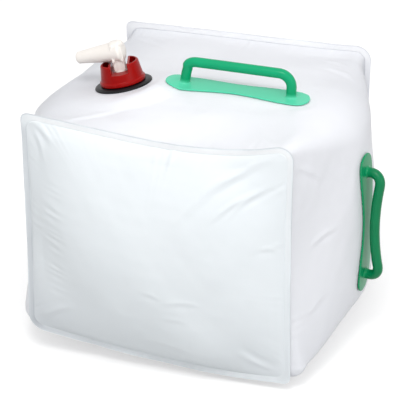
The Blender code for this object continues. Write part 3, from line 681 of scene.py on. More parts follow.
def panel_painted_shade(x, z):
    """Painted shade: darker film towards a panel's two low corners, more on the left."""
    painted_shade = np.where(x < 0, LEFT_CORNER_PAINTED_SHADE, RIGHT_CORNER_PAINTED_SHADE)
    return painted_shade * ramp(np.abs(x), 0.05, 0.12) * ramp(z, 0.105, 0.015)


def band_painted_shade(points):
    """Painted shade: darker film on the band towards the ends of its top and low on its right wall."""
    x, y, z = np.moveaxis(points, -1, 0)
    on_top = ramp(z, 0.19, 0.22)
    left = on_top * ramp(x, -0.07, -0.12)
    right = on_top * ramp(x, 0.10, 0.135) * ramp(y, -0.03, 0.05)
    low = ramp(x, 0.11, 0.13) * ramp(z, 0.115, 0.035)
    return TOP_LEFT_PAINTED_SHADE * left + TOP_RIGHT_PAINTED_SHADE * right + LOW_RIGHT_PAINTED_SHADE * low


def band_grid():
    """The band's loops round the bag: the front flange, the walls and the rear flange."""
    seam_share = 2 * SEAM_CORNER_RADIUS / PANEL_WIDTH
    mid_share = 2 * MID_CORNER_RADIUS / PANEL_WIDTH
    flat = BAG_DEPTH / 2 - HALF_WELD - FILM
    walls = []
    for step in range(DEPTH_ROWS + 1):
        depth = -math.cos(math.pi * (step + DEPTH_INSET) / (DEPTH_ROWS + 2 * DEPTH_INSET))
        share = seam_share + (mid_share - seam_share) * float(swell_at(np.float64(depth)))
        places, _ = unit_loop(share)
        walls.append(film_points(places[:, 0], places[:, 1], np.float64(depth)))
    front = flange_loops(seam_points(-1), -flat)
    rear = flange_loops(seam_points(1), flat)
    return np.array(front + walls + rear[::-1])


def band_relief(grid, from_seam, arc):
    """Height of the band's dents, gathers, rings and creases above its smooth film."""
    x, y, z = np.moveaxis(grid, -1, 0)
    relief = BAND_DENTS * noise(grid, DENTS) + RIPPLE_HEIGHT * noise(grid, RIPPLES)
    relief *= ramp(from_seam, 0, 0.02)
    relief += BAND_GATHERS * gathers(arc, from_seam, BAND_GATHER_REACH, np.where(y < 0, 0.0, 2.1))
    relief += RING_HEIGHT * top_rings(grid)
    relief += (x > 0.125) * creases(y, z, RIGHT_CREASES)
    relief += (z > 0.225) * creases(x, y, TOP_CREASES)
    return relief * ramp(z, 0.001, 0.013)


def off_neck_hole(grid):
    """Which squares of the band stay, outside the neck's hole in its top."""
    middle = (grid[:-1] + grid[1:]) / 2
    middle = (middle + np.roll(middle, -1, 1)) / 2
    distance = np.hypot(middle[..., 0] - NECK.x, middle[..., 1] - NECK.y)
    return (distance >= NECK_HOLE_RADIUS) | (middle[..., 2] <= TOP_FROM)


def make_band(material):
    """The strip round the bag, with its two turned-out flanges, as one fine closed sheet."""
    grid = band_grid()
    front_loop = grid[FLANGE_LOOPS]
    rear_loop = grid[-FLANGE_LOOPS - 1]
    from_seam = BAG_DEPTH / 2 - np.abs(grid[..., 1])
    is_wall = np.zeros(grid.shape[:2])
    is_wall[FLANGE_LOOPS:-FLANGE_LOOPS] = 1
    free = keep_clear(grid) * is_wall
    grid = draw_in(grid, free * smooth(ramp(from_seam, 0, FOLD_FADE)))
    grid = corner_tuck(grid, from_seam * is_wall)
    arc = np.broadcast_to(loop_arc(front_loop), grid.shape[:2])
    relief = free * band_relief(grid, from_seam, arc)
    grid = grid + surface_normals(grid) * relief[..., None]
    grid[..., 2] = np.maximum(grid[..., 2], FLOOR_GAP)
    inner = grid - surface_normals(grid) * FILM
    painted_shading = band_painted_shade(grid)
    painted_shading[:FLANGE_LOOPS] = flange_painted_shading(front_loop, SEAM_OUTWARD, BAND_LINE_GAIN)
    painted_shading[-FLANGE_LOOPS:] = flange_painted_shading(rear_loop, SEAM_OUTWARD, BAND_LINE_GAIN)[::-1]
    faces = sheet_faces(off_neck_hole(grid))
    return closed_mesh("film_band", grid, inner, faces, painted_shading, material)


def left_ladder(x, z):
    """The row of short level wrinkles that stands inside the front panel's left seam."""
    drift = 0.0022 * np.sin(math.tau * z / 0.047) + 0.0012 * np.sin(math.tau * z / 0.0205 + 1.0)
    rung = np.sin(math.tau * (z + 0.18 * x + drift) / LADDER_STEP)
    strength = 0.65 + 0.35 * np.sin(math.tau * z / 0.031)
    window = hump(x, -0.098, 0.0105) * ramp(z, 0.062, 0.082) * ramp(z, 0.195, 0.175)
    return rung * strength * window


def panel_grid(side, seam):
    """A panel's loops: its flange, and its blown face closing in towards the middle."""
    flat = side * (BAG_DEPTH / 2 + HALF_WELD + FILM)
    centre = np.array([0, 0, SEAM_MIDDLE])
    rows = flange_loops(seam, flat)
    for step in np.linspace(0, 1, PANEL_ROWS):
        share = 1 - PANEL_CLOSING_SHARE * step ** PANEL_ROW_POWER
        points = centre + (seam - centre) * share
        across, up = SEAM_PLACES.T * share
        points[:, 1] = flat + side * PANEL_BULGE * arch(across, PANEL_POWER) * arch(up, PANEL_POWER)
        rows.append(points)
    return np.array(rows)


def make_panel(name, side, colors):
    """A panel with its flat flange, blown out between the seams, as one fine closed sheet."""
    seam = seam_points(side)
    grid = panel_grid(side, seam)
    if side > 0:
        grid = grid[:, ::-1]
        seam = seam[::-1]
    normal = surface_normals(grid)
    out = np.sign(np.sum(normal[..., 1] * side))
    reach = np.linalg.norm(grid - seam[None], axis=2)
    arc = np.broadcast_to(loop_arc(seam), grid.shape[:2])
    x = grid[..., 0]
    z = grid[..., 2]
    relief = PANEL_DENTS * noise(grid, DENTS) + RIPPLE_HEIGHT * noise(grid, RIPPLES)
    relief *= ramp(reach, 0, 0.016)
    relief += PANEL_GATHERS * gathers(arc, reach, PANEL_GATHER_REACH, 1.3 * side)
    relief += creases(-side * x, z, FRONT_CREASES)
    relief += LADDER_HEIGHT * left_ladder(-side * x, z)
    relief[:FLANGE_LOOPS] = 0
    painted_shading = panel_painted_shade(x, z)
    painted_shading[:FLANGE_LOOPS] = flange_painted_shading(seam, SEAM_OUTWARD[::-side], PANEL_LINE_GAIN)
    grid = grid + normal * out * relief[..., None]
    inner = grid - surface_normals(grid) * out * FILM
    faces = sheet_faces(np.ones(grid[1:, :, 0].shape, bool), lids=True)
    return closed_mesh(name, grid, inner, faces, painted_shading, film_material(name, *colors))


# Mouldings: made closed in simple forms, joined, then melted into one skin

def paint(mesh, material):
    mesh.materials.clear()
    mesh.materials.append(material)


def evaluated_copy(item, name):
    """A plain mesh object from an object with modifiers; the first object is removed."""
    bpy.context.view_layer.update()
    graph = bpy.context.evaluated_depsgraph_get()
    mesh = bpy.data.meshes.new_from_object(item.evaluated_get(graph))
    copy = add_object(name, mesh)
    copy.matrix_world = item.matrix_world
    bpy.data.objects.remove(item, do_unlink=True)
    return copy


def mesh_object(name, work):
    bmesh.ops.recalc_face_normals(work, faces=work.faces)
    mesh = bpy.data.meshes.new(name)
    work.to_mesh(mesh)
    work.free()
    return add_object(name, mesh)


def joined(name, items):
    """One object from several, in world places."""
    work = bmesh.new()
    for item in items:
        mesh = item.data.copy()
        mesh.transform(item.matrix_world)
        work.from_mesh(mesh)
        bpy.data.meshes.remove(mesh)
        bpy.data.objects.remove(item, do_unlink=True)
    return mesh_object(name, work)


def melt(item, skin, name, material):
    """Voxel remesh and smooth: separate overlapping forms become one moulding."""
    remesh = item.modifiers.new("skin", "REMESH")
    remesh.mode = "VOXEL"
    remesh.voxel_size = skin[0]
    remesh.adaptivity = 0.0
    soften = item.modifiers.new("soften", "SMOOTH")
    soften.factor = 0.5
    soften.iterations = skin[1]
    result = evaluated_copy(item, name)
    result.data.transform(result.matrix_world)
    result.matrix_world = Matrix.Identity(4)
    paint(result.data, material)
    result.data.shade_smooth()
    return result


def add_strip(work, first, second, closed=False):
    """Squares between two rows of vertices, round to the start again if closed."""
    count = len(first)
    for index in range(count if closed else count - 1):
        after = (index + 1) % count
        work.faces.new((first[index], first[after], second[after], second[index]))


def base_half_width(along):
    leg = LEG_SPACING / 2
    reach = HANDLE_LENGTH / 2
    distance = abs(along)
    if distance <= leg:
        widening = (HANDLE_END_WIDTH - HANDLE_WAIST_WIDTH) * smooth(distance / leg)
        return (HANDLE_WAIST_WIDTH + widening) / 2
    share = (distance - leg) / (reach - leg)
    return HANDLE_END_WIDTH / 2 * math.sqrt(max(0.0, 1 - share ** BASE_END_POWER))


def base_skin(work, place, out):
    """Rows of vertices across the waisted plate, at one height above the film."""
    long_steps = 90
    wide_steps = 16
    rows = []
    for step in range(1, long_steps):
        along = -math.cos(math.pi * step / long_steps) * HANDLE_LENGTH / 2
        half = base_half_width(along)
        row = []
        for index in range(wide_steps + 1):
            across = half * (2 * index / wide_steps - 1)
            row.append(work.verts.new(place(along, across, out)))
        rows.append(row)
    return rows


def base_form(place):
    """The waisted plate, closed, following the film."""
    work = bmesh.new()
    top = base_skin(work, place, BASE_SEAT_GAP + BASE_THICKNESS)
    bottom = base_skin(work, place, BASE_SEAT_GAP - 0.0001)
    for rows in (top, bottom):
        for first, second in zip(rows, rows[1:]):
            add_strip(work, first, second)
    for side in (0, -1):
        add_strip(work, [row[side] for row in top], [row[side] for row in bottom])
    for end in (0, -1):
        add_strip(work, top[end], bottom[end])
    return mesh_object("base_form", work)


def grip_route(place, height, sag, sway):
    """Points of the grip: up one leg, round a bend, along the grip and down again."""
    leg = LEG_SPACING / 2
    bend_points = 14
    grip_points = 30
    start = BASE_SEAT_GAP + LEG_ROOT_DEPTH
    half = [(leg, start), (leg, start + BASE_THICKNESS)]
    for step in range(bend_points + 1):
        angle = math.pi / 2 * step / bend_points
        along = leg - GRIP_BEND_RADIUS * (1 - math.cos(angle))
        half.append((along, height - GRIP_BEND_RADIUS * (1 - math.sin(angle))))
    flat = leg - GRIP_BEND_RADIUS
    for step in range(1, grip_points // 2 + 1):
        half.append((flat * (1 - 2 * step / grip_points), height))
    route = half + [(-along, out) for along, out in reversed(half[:-1])]
    points = []
    for along, out in route:
        drop = max(0.0, 1 - (along / leg) ** 2)
        rise = out / height
        lean = SWAY_AT_LEGS_SHARE + (1 - SWAY_AT_LEGS_SHARE) * drop
        points.append(place(along, sway * rise * lean, out - sag * drop * rise))
    return points


def grip_form(points):
    curve = bpy.data.curves.new("grip_form", "CURVE")
    curve.dimensions = "3D"
    curve.bevel_depth = GRIP_RADIUS
    curve.bevel_resolution = 8
    curve.use_fill_caps = True
    spline = curve.splines.new("POLY")
    spline.points.add(len(points) - 1)
    for target, point in zip(spline.points, points):
        target.co = (*point, 1)
    grip = evaluated_copy(add_object("grip_form", curve), "grip_form")
    work = bmesh.new()
    work.from_mesh(grip.data)
    bmesh.ops.remove_doubles(work, verts=work.verts, dist=MERGE_DISTANCE)
    work.to_mesh(grip.data)
    work.free()
    return grip


def ringed_form(name, rings):
    """A closed form from rings of points, one above the other, with flat ends."""
    work = bmesh.new()
    rows = [[work.verts.new(point) for point in ring] for ring in rings]
    for first, second in zip(rows, rows[1:]):
        add_strip(work, first, second, closed=True)
    work.faces.new(rows[0])
    work.faces.new(rows[-1])
    return mesh_object(name, work)


def foot_form(place, along):
    """A leg's spread foot."""
    stages = 7
    sides = 36
    low = BASE_SEAT_GAP + 0.0002
    high = BASE_SEAT_GAP + BASE_THICKNESS + FOOT_HEIGHT
    rings = []
    for share in np.linspace(0, 1, stages + 1):
        radius = GRIP_RADIUS - 0.0004 + FOOT_SPREAD * (1 - share) ** 2.2
        out = low + (high - low) * share
        ring = []
        for step in range(sides):
            angle = math.tau * step / sides
            ring.append(place(along + radius * math.cos(angle), radius * math.sin(angle), out))
        rings.append(ring)
    return ringed_form("foot_form", rings)


def top_place(along, across, out):
    x = TOP_HANDLE[0] + along
    y = TOP_HANDLE[1] + across
    return top_point(x, y) + film_normal(top_point, x, y) * out


def side_place(along, across, out):
    y = SIDE_HANDLE[0] + across
    z = SIDE_HANDLE[1] + along
    return right_point(y, z) + film_normal(right_point, y, z) * out


def make_handle(name, place, grip, material):
    """One soft moulding: welded base, spread feet, legs and round grip, melted together."""
    forms = [base_form(place), grip_form(grip_route(place, *grip))]
    for along in (-LEG_SPACING / 2, LEG_SPACING / 2):
        forms.append(foot_form(place, along))
    handle = melt(joined(name + "_forms", forms), HANDLE_SKIN, name, material)
    paint_tone(handle.data, place)
    return handle


def paint_tone(mesh, place):
    """A number per point for the colour: 0 on the thin base, 1 on the grip and legs."""
    places = np.empty(len(mesh.vertices) * 3)
    mesh.vertices.foreach_get("co", places)
    places = places.reshape(-1, 3)
    stations = 60
    reach = 0.49 * HANDLE_LENGTH
    feet = []
    outs = []
    for along in np.linspace(-reach, reach, stations):
        feet.append(place(along, 0.0, 0.0))
        outs.append(place(along, 0.0, 1.0) - feet[-1])
    feet = np.array(feet)
    axis = feet[-1] - feet[0]
    share = (places - feet[0]) @ axis / (axis @ axis)
    index = np.clip(np.round(share * (stations - 1)), 0, stations - 1).astype(int)
    height = np.sum((places - feet[index]) * np.array(outs)[index], axis=1)
    attribute = mesh.attributes.new("tone", "FLOAT", "POINT")
    attribute.data.foreach_set("value", ramp(height, 0.0026, 0.0071))


def neck_matrix():
    return Matrix.Translation(NECK) @ Matrix.Rotation(-NECK_LEAN, 4, "Y")


def turned(name, outline, closed, steps):
    """Revolve an outline of (radius, height) about the upright axis at the origin."""
    mesh = bpy.data.meshes.new(name)
    points = [(radius, 0, height) for radius, height in outline]
    edges = [(index, index + 1) for index in range(len(points) - 1)]
    if closed:
        edges.append((len(points) - 1, 0))
    mesh.from_pydata(points, edges, [])
    item = add_object(name, mesh)
    screw = item.modifiers.new("turn", "SCREW")
    screw.axis = "Z"
    screw.angle = math.tau
    screw.steps = steps
    screw.render_steps = steps
    screw.use_merge_vertices = True
    screw.merge_threshold = MERGE_DISTANCE
    result = evaluated_copy(item, name)
    work = bmesh.new()
    work.from_mesh(result.data)
    bmesh.ops.recalc_face_normals(work, faces=work.faces)
    work.to_mesh(result.data)
    work.free()
    return result


def rod_form(name, radius, top, bottom):
    outline = [(0, top), (radius, top), (radius, bottom), (0, bottom)]
    return turned(name, outline, False, BORE_STEPS)


def cut(item, other, operation):
    """Apply one exact boolean at once and drop the other object."""
    modifier = item.modifiers.new("cut", "BOOLEAN")
    modifier.operation = operation
    modifier.solver = "EXACT"
    modifier.object = other
    result = evaluated_copy(item, item.name)
    bpy.data.objects.remove(other, do_unlink=True)
    return result


def box_form(name, low, high):
    work = bmesh.new()
    bmesh.ops.create_cube(work, size=1.0)
    bmesh.ops.scale(work, vec=Vector(high) - Vector(low), verts=work.verts)
    bmesh.ops.translate(work, vec=(Vector(high) + Vector(low)) / 2, verts=work.verts)
    return mesh_object(name, work)


def cap_outer_radius(height):
    share = (height - CAP_BEAD_HEIGHT) / (CAP_HEIGHT - CAP_BEAD_HEIGHT)
    wide = CAP_BASE_RADIUS - CAP_BEAD_STEP
    return wide + (CAP_TOP_RADIUS - wide) * share


def lug_pocket(side):
    """The hollow in one lug's top: a slice of the cap's round, cut off along the notch."""
    inner = CAP_NOTCH_WIDTH / 2 + CAP_LUG_WALL
    steps = 24
    rings = []
    for height in (CAP_PLATE_TOP + CAP_LUG_FLOOR, CAP_HEIGHT + CUT_PAST):
        outer = cap_outer_radius(height) - CAP_LUG_WALL
        limit = math.acos(inner / outer)
        angles = np.linspace(-limit, limit, steps + 1)
        rings.append([(side * outer * math.cos(a), outer * math.sin(a), height) for a in angles])
    return ringed_form("lug_pocket", rings)


def port_form(radius, inner, outer):
    """A rod lying through one side of a round wall, for its water port."""
    length = outer - inner + 2 * CUT_PAST
    work = bmesh.new()
    bmesh.ops.create_cone(work, cap_ends=True, segments=32, radius1=radius, radius2=radius, depth=length)
    turn = Matrix.Rotation(math.pi / 2, 4, "Y")
    shift = Matrix.Translation((-(inner + outer) / 2, 0, PORT_HEIGHT))
    bmesh.ops.transform(work, matrix=shift @ turn, verts=work.verts)
    return mesh_object("port_form", work)


def make_cap(material):
    """Red cap: bead, tapered skirt, two lugs with pockets, plate and hanging socket."""
    bead_top = CAP_FOOT + CAP_BEAD_HEIGHT
    outline = [
        (SOCKET_BORE, CAP_HEIGHT),
        (cap_outer_radius(CAP_HEIGHT) - CAP_EDGE, CAP_HEIGHT),
        (cap_outer_radius(CAP_HEIGHT - CAP_EDGE), CAP_HEIGHT - CAP_EDGE),
        (cap_outer_radius(bead_top + CAP_BEAD_STEP), bead_top + CAP_BEAD_STEP),
        (CAP_BASE_RADIUS, bead_top),
        (CAP_BASE_RADIUS, CAP_FOOT + CAP_EDGE / 2),
        (CAP_BASE_RADIUS - CAP_EDGE / 2, CAP_FOOT),
        (CAP_SKIRT_BORE, CAP_FOOT),
        (CAP_SKIRT_BORE, CAP_PLATE_BOTTOM),
        (SOCKET_OUTER, CAP_PLATE_BOTTOM),
        (SOCKET_OUTER, SOCKET_BOTTOM),
        (0, SOCKET_BOTTOM),
        (0, SOCKET_BOTTOM + SOCKET_FLOOR),
        (SOCKET_BORE, SOCKET_BOTTOM + SOCKET_FLOOR),
    ]
    cap = turned("tap_cap", outline, True, CAP_STEPS)
    half = CAP_NOTCH_WIDTH / 2
    past = 0.03
    notch = box_form("notch", (-half, -past, CAP_PLATE_TOP), (half, past, CAP_HEIGHT + CUT_PAST))
    for tool in (notch, lug_pocket(-1), lug_pocket(1)):
        tool.data.transform(Matrix.Rotation(FACE_TURN, 4, "Z"))
        cap = cut(cap, tool, "DIFFERENCE")
    cap = cut(cap, port_form(CAP_PORT_RADIUS, SOCKET_BORE, SOCKET_OUTER), "DIFFERENCE")
    cap.data.transform(neck_matrix())
    return melt(cap, CAP_SKIN, "tap_cap", material)


def nozzle_matrix():
    lay = Matrix.Rotation(-math.pi / 2 - NOZZLE_DROOP, 4, "Y")
    return Matrix.Translation((KNUCKLE_OFFSET, 0, KNUCKLE_HEIGHT)) @ lay


def nozzle_outline():
    """From the tip along the taper to the knuckle's flattened dome."""
    outline = [
        (0, NOZZLE_LENGTH),
        (NOZZLE_TIP_RADIUS - NOZZLE_TIP_EDGE, NOZZLE_LENGTH),
        (NOZZLE_TIP_RADIUS, NOZZLE_LENGTH - NOZZLE_TIP_EDGE),
    ]
    taper = math.atan2(NOZZLE_ROOT_RADIUS - NOZZLE_TIP_RADIUS, NOZZLE_LENGTH)
    rings = 20
    for step in range(rings + 1):
        angle = taper - (taper + math.pi / 2) * step / rings
        radius = KNUCKLE_RADIUS * math.cos(angle) if step < rings else 0
        depth = KNUCKLE_RADIUS * math.sin(angle)
        outline.append((radius, depth if depth > 0 else depth * DOME_FLATTENING))
    return outline


def rib_forms():
    """The leg's two fins, and above each the hub's rib."""
    forms = []
    for side in (-1, 1):
        low = side * FIN_SPACING / 2 - FIN_THICKNESS / 2
        for name, reach, foot, top in (
            ("fin", FIN_REACH, CAP_PLATE_TOP + FIN_CLEARANCE, HUB_TOP - FIN_TOP_DROP),
            ("rib", RIB_REACH, HUB_FOOT_TOP + RIB_FOOT_GAP, HUB_TOP - RIB_TOP_DROP),
        ):
            high = (low + FIN_THICKNESS, -SPOUT_BORE_RADIUS, top)
            form = box_form(name, (low, -reach, foot), high)
            form.data.transform(Matrix.Rotation(FACE_TURN, 4, "Z"))
            forms.append(form)
    return forms


def make_spout(material):
    """Ivory spout: barrel, ribbed round hub and tapered nozzle, one bore."""
    foot = CAP_PLATE_TOP + TOUCH_GAP
    outline = [
        (0, HUB_TOP),
        *((HUB_RADIUS * share, HUB_TOP - drop) for share, drop in HUB_EDGE),
        (HUB_RADIUS, HUB_FOOT_TOP + HUB_FLARE),
        (LEG_RADIUS, HUB_FOOT_TOP),
        (LEG_RADIUS, foot + FIN_CLEARANCE),
        (BARREL_RADIUS, foot),
        (BARREL_RADIUS, BARREL_BOTTOM),
        (0, BARREL_BOTTOM),
    ]
    spout = turned("tap_spout", outline, False, SPOUT_STEPS)
    nozzle = turned("nozzle", nozzle_outline(), False, SPOUT_STEPS)
    nozzle.data.transform(nozzle_matrix())
    for form in (nozzle, *rib_forms()):
        spout = cut(spout, form, "UNION")
    bore = rod_form("bore", SPOUT_BORE_RADIUS, KNUCKLE_HEIGHT, BARREL_BOTTOM + SOCKET_FLOOR)
    tube = rod_form("tube", NOZZLE_BORE_RADIUS, NOZZLE_LENGTH + CUT_PAST, -SPOUT_BORE_RADIUS / 2)
    tube.data.transform(nozzle_matrix())
    for form in (bore, tube, port_form(SPOUT_PORT_RADIUS, SPOUT_BORE_RADIUS, BARREL_RADIUS)):
        spout = cut(spout, form, "DIFFERENCE")
    spout.data.transform(neck_matrix())
    return melt(spout, SPOUT_SKIN, "tap_spout", material)


def make_neck(material):
    """Black neck and weld flange with softened edges, and a ring moulded on the flange."""
    base = TOUCH_GAP
    top = base + FLANGE_RING_THICKNESS
    outline = [
        (NECK_BORE_RADIUS, NECK_HEIGHT),
        (NECK_OUTER - NECK_EDGE, NECK_HEIGHT),
        (NECK_OUTER, NECK_HEIGHT - NECK_EDGE),
        (NECK_OUTER, top + NECK_FILLET),
        (NECK_OUTER + NECK_FILLET, top),
        *((FLANGE_RING_RADIUS - inset, top - drop) for inset, drop in FLANGE_SHOULDER),
        *((FLANGE_RING_RADIUS - inset, base + height) for inset, height in FLANGE_RIM),
        (NECK_OUTER, base),
        (NECK_OUTER, -NECK_COLLAR_DEPTH),
        (NECK_BORE_RADIUS, -NECK_COLLAR_DEPTH),
    ]
    neck = turned("neck_outline", outline, True, NECK_STEPS)
    neck.name = "neck_ring"
    neck.data.transform(neck_matrix())
    neck.data.shade_smooth()
    neck.data.set_sharp_from_angle(angle=NECK_SHARP_ANGLE)
    paint(neck.data, material)
    return neck


# Materials, and small makers of shader nodes: an input takes a number, a colour or a socket

WHITE = (1, 1, 1, 1)
# Colours and share of the film's painted shade and painted light
FILM_PAINTED_SHADE = (0.42, 0.44, 0.48, 1)
FILM_PAINTED_SHADE_SHARE = 0.6
FILM_PAINTED_LIGHT = (0.985, 0.990, 1.0, 1)
FILM_THROUGH_SHARE = 0.22


def new_material(name, roughness, gloss):
    material = bpy.data.materials.new(name)
    material.use_nodes = True
    shader = material.node_tree.nodes["Principled BSDF"]
    shader.inputs["Roughness"].default_value = roughness
    shader.inputs["Specular IOR Level"].default_value = gloss
    return material, material.node_tree, shader


def add_node(tree, kind, inputs, data_type=None):
    """A shader node and its inputs, each a number or colour to set or a socket to link."""
    node = tree.nodes.new("ShaderNode" + kind)
    if data_type:
        node.data_type = data_type
    for key, value in inputs.items():
        if isinstance(value, bpy.types.NodeSocket):
            tree.links.new(value, node.inputs[key])
        else:
            node.inputs[key].default_value = value
    return node


def calculated(tree, operation, first, second):
    node = add_node(tree, "Math", {0: first, 1: second})
    node.operation = operation
    return node.outputs[0]


def mixed_color(tree, share, first, second):
    return add_node(tree, "Mix", {0: share, 6: first, 7: second}, "RGBA").outputs[2]


def mixed_surface(tree, share, first, second, output):
    mix = add_node(tree, "MixShader", {0: share, 1: first.outputs[0], 2: second.outputs[0]})
    tree.links.new(mix.outputs[0], tree.nodes[output].inputs["Surface"])


def point_value(tree, name):
    node = tree.nodes.new("ShaderNodeAttribute")
    node.attribute_name = name
    return node.outputs["Fac"]


def cloud(tree, scale, detail):
    """A soft noise of the object's place, as a number."""
    place = add_node(tree, "TexCoord", {}).outputs["Object"]
    return add_node(tree, "TexNoise", {"Scale": scale, "Detail": detail, "Vector": place}).outputs["Fac"]


def dress(tree, shader, color, grain, strength, distance):
    """Gives a shader its colour and a bump of grain."""
    bump = add_node(tree, "Bump", {"Strength": strength, "Distance": distance, "Height": grain})
    tree.links.new(bump.outputs["Normal"], shader.inputs["Normal"])
    tree.links.new(color, shader.inputs["Base Color"])


def film_material(name, first, second, through_color):
    """Milky film: white, satin, with light coming through it and a fine uneven surface; painted shade
    and painted light from the point attribute seam are mixed into its colour.
    """
    material, tree, shader = new_material(name, 0.36, 0.5)
    shader.inputs["IOR"].default_value = 1.5
    tint = mixed_color(tree, cloud(tree, 9.0, 3.0), (*first, 1), (*second, 1))
    # Painted shade where the seam attribute is positive, painted light where it is negative
    seam = point_value(tree, "seam")
    painted_darker = calculated(tree, "MULTIPLY", seam, FILM_PAINTED_SHADE_SHARE)
    painted_lighter = calculated(tree, "MULTIPLY", seam, -1.0)
    tint = mixed_color(tree, painted_darker, tint, FILM_PAINTED_SHADE)
    tint = mixed_color(tree, painted_lighter, tint, FILM_PAINTED_LIGHT)
    dress(tree, shader, tint, cloud(tree, 150.0, 4.0), 0.12, 0.0008)
    through = add_node(tree, "BsdfTranslucent", {"Color": (*through_color, 1)})
    mixed_surface(tree, FILM_THROUGH_SHARE, shader, through, "Material Output")
    return material


def plastic_material(name, color, worn, roughness, gloss, scale=60.0, bump=0.15, base=None):
    """Moulded plastic: an uneven satin skin, with its base colour where the tone is 0."""
    material, tree, shader = new_material(name, roughness, gloss)
    grain = cloud(tree, scale, 4.0)
    tint = mixed_color(tree, grain, (*color, 1), (*worn, 1))
    if base:
        tint = mixed_color(tree, point_value(tree, "tone"), (*base, 1), tint)
    dress(tree, shader, tint, grain, bump, 0.0003)
    return material


# Studio

SKY_AIM = (0.24, -0.45, 0.82)
SKY_LOW = 0.24
SKY_HIGH = 1.34
FLOOR_REACH = 6.0
FLOOR_SHADE = 0.58
FLOOR_GLOW = 0.5
# Name, place, aim, size and power
LAMPS = (
    ("key", (0.2, -0.95, 1.5), (0.02, -0.05, 0.2), 0.6, 9.5),
    ("fill", (1.8, -0.9, 0.8), (0, 0, 0.12), 1.2, 5),
)


def add_camera():
    right, up, back = camera_axes()
    data = bpy.data.cameras.new("camera")
    data.lens = LENS
    data.sensor_width = SENSOR
    data.clip_end = 20
    camera = add_object("camera", data)
    axes = Matrix((right, up, back)).transposed().to_4x4()
    camera.matrix_world = Matrix.Translation(TARGET + back * DISTANCE) @ axes
    bpy.context.scene.camera = camera


def add_lamp(name, place, aim, size, power):
    data = bpy.data.lights.new(name, "AREA")
    data.shape = "DISK"
    data.size = size
    data.energy = power
    lamp = add_object(name, data)
    lamp.location = place
    direction = Vector(aim) - Vector(place)
    lamp.rotation_euler = direction.to_track_quat("-Z", "Y").to_euler()


def seen_directly(tree):
    """1 for rays from the camera, in gloss and through clear things, 0 for the light."""
    ray = add_node(tree, "LightPath", {}).outputs
    seen = calculated(tree, "MAXIMUM", ray["Is Camera Ray"], ray["Is Glossy Ray"])
    return calculated(tree, "MAXIMUM", seen, ray["Is Transmission Ray"])


def add_world():
    """A sky that is brighter towards its aim where it lights, and plain white where it shows."""
    world = bpy.data.worlds.new("studio")
    bpy.context.scene.world = world
    world.use_nodes = True
    tree = world.node_tree
    direction = add_node(tree, "TexCoord", {}).outputs["Generated"]
    toward = add_node(tree, "VectorMath", {0: direction, 1: Vector(SKY_AIM).normalized()})
    toward.operation = "DOT_PRODUCT"
    span = {"Value": toward.outputs["Value"], "To Min": SKY_LOW, "To Max": SKY_HIGH}
    level = add_node(tree, "MapRange", span).outputs[0]
    light = tree.nodes["Background"]
    light.inputs["Color"].default_value = WHITE
    tree.links.new(level, light.inputs["Strength"])
    seen = add_node(tree, "Background", {"Color": WHITE, "Strength": 1.0})
    mixed_surface(tree, seen_directly(tree), light, seen, "World Output")


def add_floor():
    """A plain pale floor that looks white where it is seen and keeps the bag's shadow."""
    mesh = bpy.data.meshes.new("floor")
    corners = [(-1, -1), (1, -1), (1, 1), (-1, 1)]
    places = [(FLOOR_REACH * x, FLOOR_REACH * y, 0) for x, y in corners]
    mesh.from_pydata(places, [], [(0, 1, 2, 3)])
    material, tree, shader = new_material("floor", 0.9, 0.0)
    shader.inputs["Base Color"].default_value = (FLOOR_SHADE, FLOOR_SHADE, FLOOR_SHADE, 1)
    shader.inputs["Emission Color"].default_value = WHITE
    glow = calculated(tree, "MULTIPLY", seen_directly(tree), FLOOR_GLOW)
    tree.links.new(glow, shader.inputs["Emission Strength"])
    mesh.materials.append(material)
    add_object("floor", mesh)


# The film's two tints and the light through it
BAND_FILM = ((0.890, 0.900, 0.935), (0.920, 0.930, 0.960), (0.89, 0.90, 0.95))
PANEL_FILM = ((0.860, 0.900, 0.925), (0.895, 0.930, 0.950), (0.86, 0.92, 0.95))
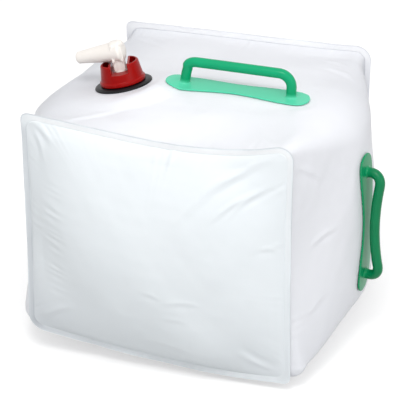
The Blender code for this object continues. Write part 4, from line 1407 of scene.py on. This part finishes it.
# A plastic's colour, its second tint, roughness and gloss; a handle's grain and base colour
BLACK = ((0.003, 0.003, 0.004), (0.006, 0.006, 0.008), 0.38, 0.2)
RED = ((0.25, 0.0, 0.0), (0.32, 0.002, 0.001), 0.28, 0.13)
IVORY = ((0.79, 0.745, 0.70), (0.84, 0.80, 0.76), 0.35, 0.4)
FOAM = ((0.7, 0.7, 0.68), (0.8, 0.8, 0.78), 0.7, 0.5)
SEAL = ((0.02, 0.02, 0.02), (0.03, 0.03, 0.03), 0.6, 0.5)
TOP_GREEN = ((0.0, 0.30, 0.125), (0.001, 0.36, 0.16), 0.3, 0.22, 45.0, 0.12, (0.09, 0.585, 0.37))
# Painted shade: the side handle's green and its base colour are darker than the top handle's, for the
# shade on the right wall
SIDE_GREEN_SHADED = ((0.0, 0.16, 0.055), (0.0, 0.20, 0.075), 0.3, 0.22, 45.0, 0.12, (0.002, 0.26, 0.10))

PIECES = (
    (make_band(film_material("film_round", *BAND_FILM)), "bag", "wrap_band", "film"),
    (make_panel("film_front", -1, PANEL_FILM), "bag", "front_panel", "film"),
    (make_panel("film_rear", 1, PANEL_FILM), "bag", "rear_panel", "film"),
    (make_handle("handle_top", top_place, TOP_GRIP, plastic_material("green_top", *TOP_GREEN)),
     "bag", "top_handle", "top_handle_green"),
    (make_handle("handle_side", side_place, SIDE_GRIP, plastic_material("green_side_shaded", *SIDE_GREEN_SHADED)),
     "bag", "side_handle", "side_handle_green"),
    (make_neck(plastic_material("neck_black", *BLACK)), "bag", "neck_fitting", "neck_black"),
    (make_cap(plastic_material("cap_red", *RED)), "cap", "screw_cap", "cap_red"),
    (make_spout(plastic_material("spout_ivory", *IVORY)), "tap", "spout", "spout_ivory"),
)
for piece, body, node, slot in PIECES:
    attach(piece, body)
    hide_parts(node)

for node, name, look in (("cap_gasket", "gasket", FOAM), ("spout_o_ring", "seal", SEAL)):
    paint(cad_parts[node].data, plastic_material(name, *look))

add_camera()
add_world()
add_floor()
for lamp in LAMPS:
    add_lamp(*lamp)
bpy.context.scene.view_settings.view_transform = "Standard"
